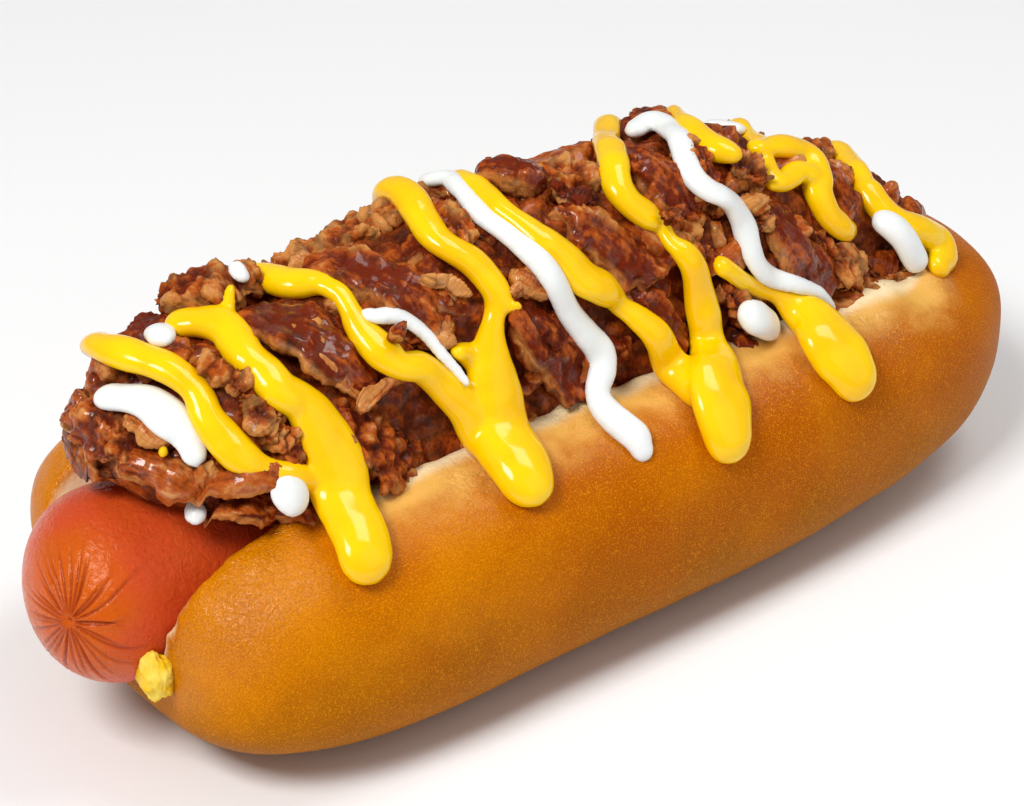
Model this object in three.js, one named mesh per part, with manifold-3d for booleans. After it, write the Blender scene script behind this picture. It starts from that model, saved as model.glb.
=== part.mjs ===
// A loaded hot dog: a soft roll split along its top, a thick frankfurter lying in the split with one
// end standing out, and chopped fried beef heaped over it under zigzags of mustard and mayonnaise.
// Millimetres, +Z up. X runs along the roll, with the end of the frankfurter that shows at -X, and
// the side that the sauce drips down faces -Y. Each body is first worked out round the middle of the
// roll, and the whole is moved at the end so that the origin is the bottom centre of its box.

import * as THREE from "three";
import { mergeVertices } from "three/addons/utils/BufferGeometryUtils.js";
import Module from "manifold-3d";

const wasm = await Module();
wasm.setup();

// Driving dimensions of the roll. The exponents say how square each outline is: 2 is an ellipse.
const ROLL_WIDTH = 68;
const ROLL_HEIGHT = 39;
const ROLL_SECTION_POWER = 3;
const ROLL_TAPER = 0.04;
const ROLL_FLATTENING = 0.5;
const ROLL_NEAR_END = { reach: 75, tipHeight: 18, planPower: 5, underPower: 4.1, topPower: 4.9 };
const ROLL_FAR_END = { reach: 81.5, tipHeight: 28, planPower: 3.3, underPower: 3.45, topPower: 2.2 };

// The frankfurter, and its near end, which bends to the front and is drawn in at one spot.
const FRANK_RADIUS = 13.5;
const FRANK_AXIS_HEIGHT = 24.9;
const FRANK_CAP = 12;
const FRANK_NEAR_X = -86;
const FRANK_FAR_X = 63;
const FRANK_BEND_START_X = -72;
const FRANK_BEND = 2.2;
const FRANK_PUCKER_OFFSET = 3;
const PUCKERS = 10;
const PUCKER_DEPTH = 0.5;

// The split: round under the frankfurter, flaring to its lips, and shut before the far end.
const SPLIT_MOUTH_HALF_WIDTH = 18;
const SPLIT_LIP_POWER = 2.4;
const SPLIT_NEAR_LIP_POWER = 0.45;
const SPLIT_OPENING_X = -50;
const SPLIT_FAR_X = 66;
const SPLIT_FAR_CLOSING = 13;
const CUT_PAST = 25;

// The heap of meat: its ends, and its crest as [x, height] from end to end.
const HEAP_NEAR_X = -76;
const HEAP_FAR_X = 74;
const HEAP_HALF_WIDTH = 18.5;
const HEAP_BASE_HEIGHT = 32;
const HEAP_DEPTH = 7;
const HEAP_NEAR_LIFT = 14;
const HEAP_NEAR_THINNING = 4.5;
const HEAP_LIFT_START_X = -44;
const HEAP_LIFT_LENGTH = 30;
const HEAP_SECTION_POWER = 2.2;
const HEAP_CREST = [
  [-76, 47],
  [-73, 52.5],
  [-69, 57],
  [-60, 60.5],
  [-38, 61],
  [-22, 64.5],
  [-8, 64.5],
  [4, 62.5],
  [26, 62.5],
  [42, 55],
  [62, 41.5],
  [74, 35],
];

// The pieces of meat that show at the front, each from [x, degrees] to [x, degrees] with its width.
// Degrees are counted round the sauce axis from straight up, minus to the front.
const PIECE_THICKNESS = 4.4;
const FRONT_PIECES = [
  [-53, -2, -40, -26, 9],
  [-56, 10, -47, 4, 7],
  [-68, 12, -62, -6, 5],
  [-61, -10, -55, -33, 5],
  [-72, -7, -68, -19, 5],
  [-75, -13, -66, -30, 6],
  [-75, 12, -73, -1, 5],
  [-67, -30, -55, -42, 4],
  [-49, -25, -36, -45, 9],
  [-39, 5, -27, -20, 8],
  [-40, 14, -27, 3, 7],
  [-20, 5, -18, -10, 6],
  [-17, -20, -7, -46, 8],
  [-9, 6, -2, -6, 8],
  [-2, 1, 9, -6, 7],
  [-3, -8, 9, -26, 8],
  [13, 2, 17, -20, 8],
  [22, -3, 22, -19, 7],
  [3, -26, 13, -45, 6],
  [28, -9, 31, -26, 6],
  [31, -22, 41, -43, 9],
  [40, -28, 50, -48, 7],
  [45, -5, 50, -26, 7],
  [19, -32, 27, -46, 5],
];
// The pieces on the far side are drawn at random, spread along and down the heap.
const BACK_PIECE_COUNT = 12;
const BACK_PIECE_LENGTH = 15;
const BACK_PIECE_ASPECT = 0.5;

// The free space kept between two bodies.
const CLEARANCE = 0.3;

// The sauces. A line of sauce is thinner than it is wide, and swells at the drop that ends it.
const SAUCE_AXIS_HEIGHT = 20;
const SAUCE_THICKNESS = 3.6;
const SAUCE_SEAT = 1.4;
const MUSTARD_WIDTH = 4.6;
const MUSTARD_DROP_WIDTH = 7.8;
const MAYONNAISE_WIDTH = 4.2;
const MAYONNAISE_DROP_WIDTH = 5;
// Each route is a run of [x, degrees].
const MUSTARD_ROUTES = [
  [[-67, 27], [-69, 12], [-69, -4], [-65, -14], [-64, -24], [-59, -34], [-53, -41]],
  [[-62, 46], [-64, 24], [-63, 3], [-57, -9], [-56, -22], [-51, -35], [-49, -48], [-52, -69]],
  [[-50, 44], [-48, 22], [-45, -3], [-40, -11], [-41, -22], [-34, -30], [-27, -43], [-26, -66]],
  [[-22, 62], [-24, 40], [-22, 16], [-23, -4], [-20, -17], [-21, -28], [-21, -40], [-25, -58]],
  [[-14, 40], [-9, 20], [-9, -6], [-3, -20], [-1, -31], [8, -46], [11, -58], [8, -75]],
  [[20, 52], [15, 30], [13, 8], [6, -11], [11, -22], [15, -34], [15, -46], [10, -66]],
  [[24, 36], [28, 15], [26, -6], [29, -13], [31, -20]],
  [[16, -28], [24, -36], [32, -44], [34, -56], [34, -73]],
  [[38, 56], [39, 30], [38, 4], [32, -8], [33, -18], [40, -18], [46, -26], [47, -32]],
  [[58, 40], [60, 14], [62, -8], [66, -20], [70, -32], [68, -50]],
];
const MAYONNAISE_ROUTES = [
  [[-68, 1], [-69, -6], [-68, -13], [-66, -20], [-67, -26]],
  [[-65, -31], [-60, -36], [-54, -42]],
  [[-58, 42], [-66, 20], [-65, 2]],
  [[-38, 36], [-47, 22], [-48, 5]],
  [[-39, -15], [-32, -22], [-28, -35]],
  [[-8, 58], [-10, 36], [-12, 12], [-15, -5], [-11, -15], [-9, -26], [-4, -37], [-8, -52], [-5, -67]],
  [[19, 4], [22, 8], [24, -2], [19, -13], [24, -22], [26, -33], [33, -40], [40, -50]],
  [[24, 62], [30, 40], [33, 20], [36, -2]],
  [[21, -43], [28, -46]],
  [[52, 30], [53, 2], [54, -22], [61, -45]],
];

// How finely each body is faceted, as sides round it and rows along it.
const ROLL_FACETS = [28, 24];
const SPLIT_FACETS = [20, 16];
const FRANK_FACETS = [30, 17];
const HEAP_FACETS = [16, 16];
const PIECE_FACETS = [7, 4];
const SAUCE_SIDES = 6;
const SAUCE_STEP = 6.5;

// A repeatable random draw from 0 to 1, one generator for each seed.
function seededRandom(seed) {
  let state = seed;
  return () => {
    state = (state + 0x6d2b79f5) | 0;
    let t = Math.imul(state ^ (state >>> 15), 1 | state);
    t = (t + Math.imul(t ^ (t >>> 7), 61 | t)) ^ t;
    return ((t ^ (t >>> 14)) >>> 0) / 4294967296;
  };
}

// The quarter of a superellipse: 1 at share 0, falling to 0 at share 1.
function rounded(share, power) {
  const held = Math.min(1, Math.max(0, share));
  return Math.pow(Math.max(0, 1 - Math.pow(held, power)), 1 / power);
}

// A closed geometry made from a ball whose poles are its two ends. place(row, angle) gives the
// point for one vertex, with rows counted from the first end and the angle running round.
function warpedBall([around, rows], place) {
  const ball = new THREE.SphereGeometry(1, around, rows);
  const position = ball.getAttribute("position");
  for (let row = 0; row <= rows; row += 1) {
    for (let column = 0; column <= around; column += 1) {
      const angle = (2 * Math.PI * (column % around)) / around;
      const point = place(row, angle);
      position.setXYZ(row * (around + 1) + column, point.x, point.y, point.z);
    }
  }
  return ball;
}

// A geometry as a solid for cutting and joining, turned to face outwards.
function solidOf(shape) {
  shape.deleteAttribute("normal");
  shape.deleteAttribute("uv");
  const geometry = mergeVertices(shape, 1e-4);
  const make = (triangles) =>
    new wasm.Manifold(
      new wasm.Mesh({
        numProp: 3,
        vertProperties: new Float32Array(geometry.getAttribute("position").array),
        triVerts: new Uint32Array(triangles),
      }),
    );
  const index = Array.from(geometry.index.array);
  const made = make(index);
  return made.volume() > 0 ? made : make(index.reverse());
}

// The largest connected body of a solid, so that no loose scrap is kept.
function largestBody(solid) {
  return solid.decompose().reduce((best, body) => (body.volume() > best.volume() ? body : best));
}

function meshOf(name, solid, color, roughness) {
  const cut = solid.getMesh();
  const geometry = new THREE.BufferGeometry();
  geometry.setAttribute("position", new THREE.BufferAttribute(cut.vertProperties, cut.numProp));
  geometry.setIndex(new THREE.BufferAttribute(cut.triVerts, 1));
  geometry.computeVertexNormals();
  const material = new THREE.MeshStandardMaterial({ color, roughness, metalness: 0 });
  const mesh = new THREE.Mesh(geometry, material);
  mesh.name = name;
  return mesh;
}

// The whole roll's section at x: half its width, and the heights of its underside and its top.
function rollSection(x) {
  const end = x < 0 ? ROLL_NEAR_END : ROLL_FAR_END;
  const share = Math.abs(x) / end.reach;
  const taper = 1 - (ROLL_TAPER * x) / ROLL_NEAR_END.reach;
  return {
    halfWidth: (ROLL_WIDTH / 2) * rounded(share, end.planPower) * taper,
    under: end.tipHeight * (1 - rounded(share, end.underPower)),
    top: ROLL_HEIGHT - (ROLL_HEIGHT - end.tipHeight) * (1 - rounded(share, end.topPower)),
  };
}

// A point of a superellipse with these half sizes.
function superellipse(angle, halfWidth, halfHeight, power) {
  const bend = (value) => Math.sign(value) * Math.pow(Math.abs(value), 2 / power);
  return [halfWidth * bend(Math.cos(angle)), halfHeight * bend(Math.sin(angle))];
}

// The roll before it is split, grown all round by some clearance.
function wholeRoll(grow) {
  const rows = ROLL_FACETS[1];
  return solidOf(
    warpedBall(ROLL_FACETS, (row, angle) => {
      const along = -Math.cos((Math.PI * row) / rows);
      const reach = along < 0 ? ROLL_NEAR_END.reach : ROLL_FAR_END.reach;
      const section = rollSection(along * reach);
      const tip = row === 0 || row === rows;
      const halfWidth = tip ? 0 : section.halfWidth + grow;
      const halfHeight = tip ? 0 : (section.top - section.under) / 2 + grow;
      const [y, z] = superellipse(angle, halfWidth, halfHeight, ROLL_SECTION_POWER);
      const middle = (section.top + section.under) / 2;
      return new THREE.Vector3(along * (reach + grow), y, middle + z);
    }),
  );
}

// What lies under the flat that the roll rests on.
function underRoll() {
  const slab = new THREE.BoxGeometry(3 * ROLL_NEAR_END.reach, 2 * ROLL_WIDTH, ROLL_HEIGHT);
  slab.translate(0, 0, ROLL_FLATTENING - ROLL_HEIGHT / 2);
  return solidOf(slab);
}

// One point of the split's outline at x: a half circle under the frankfurter, with its chords clear
// of it, then the two lips, closed high over the roll. The lips flare most at the near end.
function splitOutline(x, column, around, shrink) {
  const half = around / 2;
  const step = column <= half ? column : around - column;
  const side = column <= half ? 1 : -1;
  const circleSteps = Math.round(half / 2);
  const radius = (FRANK_RADIUS + CLEARANCE) / Math.cos(Math.PI / (4 * circleSteps));
  if (step <= circleSteps) {
    const angle = (Math.PI / 2) * (step / circleSteps - 1);
    return [side * (radius - shrink) * Math.cos(angle), (radius - shrink) * Math.sin(angle)];
  }
  const share = Math.min(1, (step - circleSteps) / (half - 1 - circleSteps));
  const level = (ROLL_HEIGHT + 4 - FRANK_AXIS_HEIGHT) * share;
  const opening = THREE.MathUtils.smoothstep(SPLIT_OPENING_X - x, 0, SPLIT_OPENING_X + ROLL_NEAR_END.reach);
  const power = THREE.MathUtils.lerp(SPLIT_LIP_POWER, SPLIT_NEAR_LIP_POWER, opening);
  const flare = Math.pow(level / (ROLL_HEIGHT - FRANK_AXIS_HEIGHT), power);
  const halfWidth = radius - shrink + (SPLIT_MOUTH_HALF_WIDTH - radius) * flare;
  return [step === half ? 0 : side * halfWidth, level];
}

// What the split takes out of the roll, made narrower and shallower by some clearance. It runs out
// past the near end, and closes round the frankfurter's hidden end.
function splitTool(shrink) {
  const [around, rows] = SPLIT_FACETS;
  const nearX = -ROLL_NEAR_END.reach - CUT_PAST;
  const closingX = SPLIT_FAR_X - SPLIT_FAR_CLOSING;
  const closingRows = 6;
  return solidOf(
    warpedBall([around, rows], (row, angle) => {
      const closing = Math.max(0, row - (rows - closingRows)) / closingRows;
      const before = Math.min(1, Math.max(0, row - 1) / (rows - closingRows - 1));
      const straight = nearX + (closingX - nearX) * before;
      const x = straight + (SPLIT_FAR_CLOSING - shrink) * Math.sin((Math.PI / 2) * closing);
      if (row === 0 || row === rows) {
        return new THREE.Vector3(x, 0, FRANK_AXIS_HEIGHT);
      }
      const keep = Math.cos((Math.PI / 2) * closing);
      const column = Math.round((angle * around) / (2 * Math.PI));
      const [y, level] = splitOutline(x, column, around, shrink);
      return new THREE.Vector3(x, y * keep, FRANK_AXIS_HEIGHT + level * (level < 0 ? keep : 1));
    }),
  );
}

// The frankfurter, grown all round by some clearance: a rod with two rounded caps.
function frankfurter(grow) {
  const [around, rows] = FRANK_FACETS;
  const capRows = 7;
  const nearCapX = FRANK_NEAR_X + FRANK_CAP;
  const farCapX = FRANK_FAR_X - FRANK_CAP;
  return solidOf(
    warpedBall([around, rows], (row, angle) => {
      const capShare = Math.min(1, Math.min(row, rows - row) / capRows);
      const bulge = (FRANK_CAP + grow) * Math.cos((Math.PI / 2) * capShare);
      const near = row <= capRows;
      const straight = nearCapX + ((farCapX - nearCapX) * (row - capRows)) / (rows - 2 * capRows);
      const x = near ? nearCapX - bulge : Math.min(straight, farCapX) + bulge;
      const bent = Math.max(0, FRANK_BEND_START_X - x) / (FRANK_BEND_START_X - FRANK_NEAR_X);
      const drawn = near ? 1 - Math.sin((Math.PI / 2) * capShare) : 0;
      const pucker = near ? Math.max(0, Math.cos(PUCKERS * angle)) * Math.sin(Math.PI * capShare) : 0;
      const radius = (FRANK_RADIUS + grow) * Math.sin((Math.PI / 2) * capShare) - pucker * PUCKER_DEPTH;
      const centreY = -FRANK_BEND * bent * bent - FRANK_PUCKER_OFFSET * drawn;
      return new THREE.Vector3(
        x,
        centreY + Math.cos(angle) * radius,
        FRANK_AXIS_HEIGHT + Math.sin(angle) * radius,
      );
    }),
  );
}

// The height of the heap's crest at x.
function crestHeight(x) {
  const next = Math.max(1, HEAP_CREST.findIndex(([stationX]) => stationX >= x));
  const [startX, startHeight] = HEAP_CREST[next - 1];
  const [endX, endHeight] = HEAP_CREST[next];
  return THREE.MathUtils.lerp(startHeight, endHeight, (x - startX) / (endX - startX));
}

// The heap's section at x: half its width, the level where it is widest, its crest and its depth.
// Its near end is lifted, so that the frankfurter shows under it.
function heapSection(x) {
  const nearShare = Math.max(0, -10 - x) / (-10 - HEAP_NEAR_X);
  const farShare = Math.max(0, x) / HEAP_FAR_X;
  const lift = Math.min(1, Math.max(0, HEAP_LIFT_START_X - x) / HEAP_LIFT_LENGTH);
  return {
    halfWidth: HEAP_HALF_WIDTH * rounded(nearShare, 4) * rounded(farShare, 3),
    base: HEAP_BASE_HEIGHT + HEAP_NEAR_LIFT * lift,
    crest: crestHeight(THREE.MathUtils.clamp(x, HEAP_NEAR_X, HEAP_FAR_X)),
    depth: HEAP_DEPTH - HEAP_NEAR_THINNING * lift,
  };
}

// Whether a point at x lies within the heap or the roll.
function isInside(x, y, z) {
  const heap = heapSection(x);
  const heapSide = Math.abs(y) / Math.max(1e-3, heap.halfWidth);
  const heapReach = z > heap.base ? heap.crest - heap.base : heap.depth;
  const heapLevel = Math.abs(z - heap.base) / Math.max(1e-3, heapReach);
  const roll = rollSection(x);
  const rollSide = Math.abs(y) / Math.max(1e-3, roll.halfWidth);
  const rollLevel = Math.abs(2 * z - roll.top - roll.under) / Math.max(1e-3, roll.top - roll.under);
  return (
    heapSide ** HEAP_SECTION_POWER + heapLevel ** HEAP_SECTION_POWER < 1 ||
    rollSide ** ROLL_SECTION_POWER + rollLevel ** ROLL_SECTION_POWER < 1
  );
}

// The point that stands some height over the heap or the roll, seen from the sauce axis.
function surfacePoint([x, degrees], above) {
  const angle = THREE.MathUtils.degToRad(degrees);
  const pointAt = (distance) =>
    new THREE.Vector3(x, distance * Math.sin(angle), SAUCE_AXIS_HEIGHT + distance * Math.cos(angle));
  let distance = 60;
  while (distance > 5 && !isInside(x, pointAt(distance).y, pointAt(distance).z)) {
    distance -= 0.2;
  }
  return pointAt(distance + above);
}

// The core of the heap, with shallow lumps.
function heapCore() {
  const [, rows] = HEAP_FACETS;
  return solidOf(
    warpedBall(HEAP_FACETS, (row, angle) => {
      const along = (1 - Math.cos((Math.PI * row) / rows)) / 2;
      const x = HEAP_NEAR_X + (HEAP_FAR_X - HEAP_NEAR_X) * along;
      const section = heapSection(x);
      if (row === 0 || row === rows) {
        return new THREE.Vector3(x, 0, section.base);
      }
      const reach = Math.sin(angle) > 0 ? section.crest - section.base : section.depth;
      const [y, z] = superellipse(angle, section.halfWidth, reach, HEAP_SECTION_POWER);
      const lump = 1 + 0.03 * Math.sin(x * 0.55 + 3 * angle);
      return new THREE.Vector3(x, y * lump, section.base + z * lump);
    }),
  );
}

// One piece of meat: a thin, uneven slab lying on the heap from one place to another.
function meatPiece(start, end, width, seed) {
  const [, rows] = PIECE_FACETS;
  const from = surfacePoint(start, 0);
  const to = surfacePoint(end, 0);
  const middle = surfacePoint([(start[0] + end[0]) / 2, (start[1] + end[1]) / 2], 0);
  const along = to.clone().sub(from);
  const axis = along.clone().normalize();
  const up = new THREE.Vector3(0, middle.y, middle.z - SAUCE_AXIS_HEIGHT).normalize();
  const side = new THREE.Vector3().crossVectors(up, axis).normalize();
  const over = new THREE.Vector3().crossVectors(axis, side);
  return solidOf(
    warpedBall(PIECE_FACETS, (row, angle) => {
      const polar = (Math.PI * row) / rows;
      const uneven = 1 + 0.2 * Math.sin(2 * angle + seed + row) + 0.1 * Math.cos(3 * angle + 2 * seed);
      const bow = 1 - Math.cos(polar) ** 2;
      return from
        .clone()
        .addScaledVector(along, (1 - Math.cos(polar)) / 2)
        .addScaledVector(side, (width / 2) * Math.sin(polar) * Math.cos(angle) * uneven)
        .addScaledVector(over, (PIECE_THICKNESS / 2) * Math.sin(polar) * Math.sin(angle) + bow * 0.6);
    }),
  );
}

// The pieces that show at the front, as listed.
function frontPieces() {
  return FRONT_PIECES.map(([startX, startDegrees, endX, endDegrees, width], count) =>
    meatPiece([startX, startDegrees], [endX, endDegrees], width, count),
  );
}

// The pieces on the far side, spread evenly along the heap.
function backPieces() {
  const draw = seededRandom(11);
  const spacing = (HEAP_FAR_X - HEAP_NEAR_X - 26) / BACK_PIECE_COUNT;
  return Array.from({ length: BACK_PIECE_COUNT }, (_, count) => {
    const x = HEAP_NEAR_X + 12 + spacing * (count + 0.5);
    const degrees = count % 2 === 0 ? 18 : 38;
    const length = BACK_PIECE_LENGTH * (0.8 + 0.4 * draw());
    const turn = Math.PI * (draw() - 0.5);
    const reachX = (length / 2) * Math.cos(turn);
    const reachDegrees = length * 0.7 * Math.sin(turn);
    const start = [x - reachX, degrees - reachDegrees];
    const end = [x + reachX, degrees + reachDegrees];
    return meatPiece(start, end, length * BACK_PIECE_ASPECT, count);
  });
}

// One line of sauce along its route, with a rounded start and a swelling drop at its end.
function sauceLine(route, width, dropWidth) {
  const onRoute = new THREE.CatmullRomCurve3(
    route.map(([x, degrees]) => new THREE.Vector3(x, degrees, 0)),
    false,
    "centripetal",
  );
  const laid = Array.from({ length: route.length * 4 }, (_, count) => {
    const place = onRoute.getPoint(count / (route.length * 4 - 1));
    return surfacePoint([place.x, place.y], SAUCE_SEAT);
  });
  const spine = new THREE.CatmullRomCurve3(laid, false, "centripetal");
  const total = spine.getLength();
  const bodyRows = Math.max(3, Math.round(total / SAUCE_STEP));
  const capRows = 2;
  const rows = bodyRows + 2 * capRows;
  const startCap = width / 2 / total;
  const endCap = dropWidth / 2 / total;
  return solidOf(
    warpedBall([SAUCE_SIDES, rows], (row, angle) => {
      const capShare = Math.min(1, Math.min(row, rows - row) / capRows);
      const inCap = 1 - Math.cos((Math.PI / 2) * capShare);
      let share = startCap + ((1 - startCap - endCap) * (row - capRows)) / bodyRows;
      if (row < capRows) {
        share = startCap * inCap;
      } else if (row > rows - capRows) {
        share = 1 - endCap * inCap;
      }
      const centre = spine.getPointAt(THREE.MathUtils.clamp(share, 0, 1));
      const tangent = spine.getTangentAt(THREE.MathUtils.clamp(share, 0, 1));
      const up = new THREE.Vector3(0, centre.y, centre.z - SAUCE_AXIS_HEIGHT).normalize();
      const side = new THREE.Vector3().crossVectors(tangent, up).normalize();
      const over = new THREE.Vector3().crossVectors(side, tangent).normalize();
      const swell = THREE.MathUtils.smoothstep(share, 0.55, 0.9);
      const fullness = Math.sin((Math.PI / 2) * capShare);
      const halfWidth = (THREE.MathUtils.lerp(width, dropWidth, swell) / 2) * fullness;
      return centre
        .addScaledVector(side, halfWidth * Math.cos(angle))
        .addScaledVector(over, (SAUCE_THICKNESS / 2) * fullness * Math.sin(angle));
    }),
  );
}

const roll = wholeRoll(0).subtract(splitTool(0)).subtract(underRoll());
const rollRoom = wholeRoll(CLEARANCE).subtract(splitTool(CLEARANCE));
const frank = frankfurter(0);
const frankRoom = frankfurter(CLEARANCE);
const mustard = MUSTARD_ROUTES.map((route) =>
  sauceLine(route, MUSTARD_WIDTH, MUSTARD_DROP_WIDTH),
);
const mayonnaise = MAYONNAISE_ROUTES.map((route) =>
  sauceLine(route, MAYONNAISE_WIDTH, MAYONNAISE_DROP_WIDTH),
);
const pieces = [...frontPieces(), ...backPieces()];
const heap = wasm.Manifold.union([heapCore(), ...pieces, ...mustard, ...mayonnaise]);
const dressed = largestBody(heap.subtract(rollRoom).subtract(frankRoom));

const hotDog = new THREE.Group();
hotDog.add(meshOf("bun", largestBody(roll), 0xc98325, 0.45));
hotDog.add(meshOf("frankfurter", frank, 0xb8432c, 0.35));
hotDog.add(meshOf("meat_heap", dressed, 0x70381f, 0.4));

const box = new THREE.Box3().setFromObject(hotDog);
hotDog.position.set(-(box.min.x + box.max.x) / 2, -(box.min.y + box.max.y) / 2, -box.min.z);

export default hotDog;
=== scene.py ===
"""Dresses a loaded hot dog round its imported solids.

A glazed soft roll is split along its top. A thick frankfurter lies in the split with one end standing
out, and chopped fried beef is heaped over it under zigzags of mustard and mayonnaise. Shapes are worked
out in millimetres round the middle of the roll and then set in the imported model's frame, in metres.
"""

import logging
import math
from dataclasses import dataclass
from enum import Enum

import bpy
import numpy as np
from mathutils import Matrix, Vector
from mathutils.bvhtree import BVHTree


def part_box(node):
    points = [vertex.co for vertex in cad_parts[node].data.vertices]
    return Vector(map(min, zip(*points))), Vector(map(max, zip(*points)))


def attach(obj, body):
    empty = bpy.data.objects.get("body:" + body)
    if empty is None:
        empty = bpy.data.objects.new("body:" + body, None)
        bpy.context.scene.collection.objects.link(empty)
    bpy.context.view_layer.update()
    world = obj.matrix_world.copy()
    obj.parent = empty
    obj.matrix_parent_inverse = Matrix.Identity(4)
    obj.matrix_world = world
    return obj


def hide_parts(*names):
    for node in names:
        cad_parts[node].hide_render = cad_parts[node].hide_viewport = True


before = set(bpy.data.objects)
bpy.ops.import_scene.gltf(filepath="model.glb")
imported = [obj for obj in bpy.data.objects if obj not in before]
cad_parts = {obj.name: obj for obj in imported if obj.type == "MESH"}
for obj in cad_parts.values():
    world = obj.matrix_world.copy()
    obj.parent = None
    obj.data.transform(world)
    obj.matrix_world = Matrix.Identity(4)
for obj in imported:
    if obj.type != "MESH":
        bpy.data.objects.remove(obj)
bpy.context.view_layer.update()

LOG = logging.getLogger("hot_dog")
MILLIMETRE = 0.001

Array = np.ndarray
Colour = tuple[float, float, float]
Station = tuple[float, float]
Line = tuple[tuple[float, float, float], ...]


# Noise for the shapes. It is worked out on whole arrays of points at once.


def drawn_directions(count: int) -> Array:
    """A repeatable draw of unit directions."""
    drawn = np.random.default_rng(1).normal(size=(count, 3))
    return (drawn / np.linalg.norm(drawn, axis=1, keepdims=True)).astype(np.float32)


DIRECTION_COUNT = 4096
DIRECTIONS = drawn_directions(DIRECTION_COUNT)
# Large odd numbers, so that neighbouring cells and seeds draw unlike directions.
CELL_MIXERS = (73856093, 19349663, 83492791)
SEED_MIXER = 26544357
NOISE_GAIN = 1.5
LAYER_WEIGHT = 0.55


def hashed_gradients(cells: Array, seed: int) -> Array:
    """Gives each lattice cell a repeatable direction.

    Args:
        cells: Whole-number cell corners, one row each.
        seed: Which of the many repeatable draws to use.

    Returns:
        One unit direction for each row.
    """
    by_x, by_y, by_z = CELL_MIXERS
    mixed = cells[:, 0] * by_x ^ cells[:, 1] * by_y ^ cells[:, 2] * by_z ^ seed * SEED_MIXER
    mixed = mixed * 40503 & 0xFFFFFF
    return DIRECTIONS[(mixed ^ mixed >> 12) & (DIRECTION_COUNT - 1)]


def smooth_noise(points: Array, scale: float | Array, seed: int) -> Array:
    """Gradient noise of about -1 to 1.

    Args:
        points: Places in millimetres, one row each.
        scale: Size of the noise's lumps in millimetres, one for all axes or one for each.
        seed: Which repeatable draw to use.

    Returns:
        One value for each point.
    """
    places = points / np.asarray(scale, float)
    corner = np.floor(places).astype(np.int64)
    inside = places - corner
    eased = inside**3 * (inside * (inside * 6 - 15) + 10)
    total = np.zeros(len(points))
    for step in range(8):
        offset = np.array([step & 1, step >> 1 & 1, step >> 2 & 1])
        gradient = hashed_gradients(corner + offset, seed)
        share = np.prod(np.where(offset == 1, eased, 1 - eased), axis=1)
        total += share * np.einsum("ij,ij->i", gradient, inside - offset)
    return total * NOISE_GAIN


def layered_noise(points: Array, scale: float, layers: int, seed: int) -> Array:
    """Smooth noise with finer, weaker layers added to it.

    Args:
        points: Places in millimetres, one row each.
        scale: Size of the first layer's lumps in millimetres. Each further layer has lumps half as large.
        layers: How many layers there are.
        seed: Which repeatable draw to use.

    Returns:
        One value for each point.
    """
    total = np.zeros(len(points))
    for layer in range(layers):
        total += smooth_noise(points, scale / 2**layer, seed + layer) * LAYER_WEIGHT**layer
    return total


def pillow_noise(points: Array, scale: float | Array, seed: int) -> Array:
    """Rounded lumps from 0 to 1 with sharp creases of 0 between them."""
    return np.clip(np.abs(smooth_noise(points, scale, seed)) * 1.6, 0, 1)


def cell_noise(points: Array, scale: float | Array, seed: int) -> tuple[Array, Array]:
    """Broken-up lumps: space divided round scattered centres.

    Args:
        points: Places in millimetres, one row each.
        scale: Size of the lumps in millimetres.
        seed: Which repeatable draw to use.

    Returns:
        How far each point is inside its lump, 0 at the lump's edge, and the lump's own draw from 0 to 1.
    """
    places = points / np.asarray(scale, float)
    corner = np.floor(places).astype(np.int64)
    nearest = np.full(len(points), 9.0)
    second = np.full(len(points), 9.0)
    own = np.zeros(len(points))
    for step in range(27):
        cell = corner + np.array([step % 3, step // 3 % 3, step // 9]) - 1
        draw = hashed_gradients(cell, seed)
        apart = np.linalg.norm(cell + 0.5 + draw * 0.45 - places, axis=1)
        closer = apart < nearest
        second = np.where(closer, nearest, np.minimum(second, apart))
        own = np.where(closer, draw[:, 2] / 2 + 0.5, own)
        nearest = np.where(closer, apart, nearest)
    return second - nearest, own


def eased_step(low: float, high: float, value: Array | float) -> Array:
    """Rises smoothly from 0 at low to 1 at high."""
    share = np.clip((np.asarray(value, float) - low) / (high - low), 0, 1)
    return share * share * (3 - 2 * share)


def squared(value: Array, power: float) -> Array:
    """Turns a circle's sine or cosine into that of a superellipse of the given power."""
    return np.sign(value) * np.abs(value) ** (2 / power)


def rounded(share: Array | float, power: float) -> Array:
    """The quarter of a superellipse: 1 at share 0, falling to 0 at share 1."""
    held = np.clip(share, 0, 1)
    return np.maximum(0, 1 - held**power) ** (1 / power)


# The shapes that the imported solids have, worked out again at a finer pitch.


@dataclass(frozen=True)
class RollEnd:
    """How one end of the roll is rounded off. A power of 2 is an ellipse, and more is squarer."""

    reach: float
    tip_height: float
    plan_power: float
    under_power: float
    top_power: float


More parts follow.
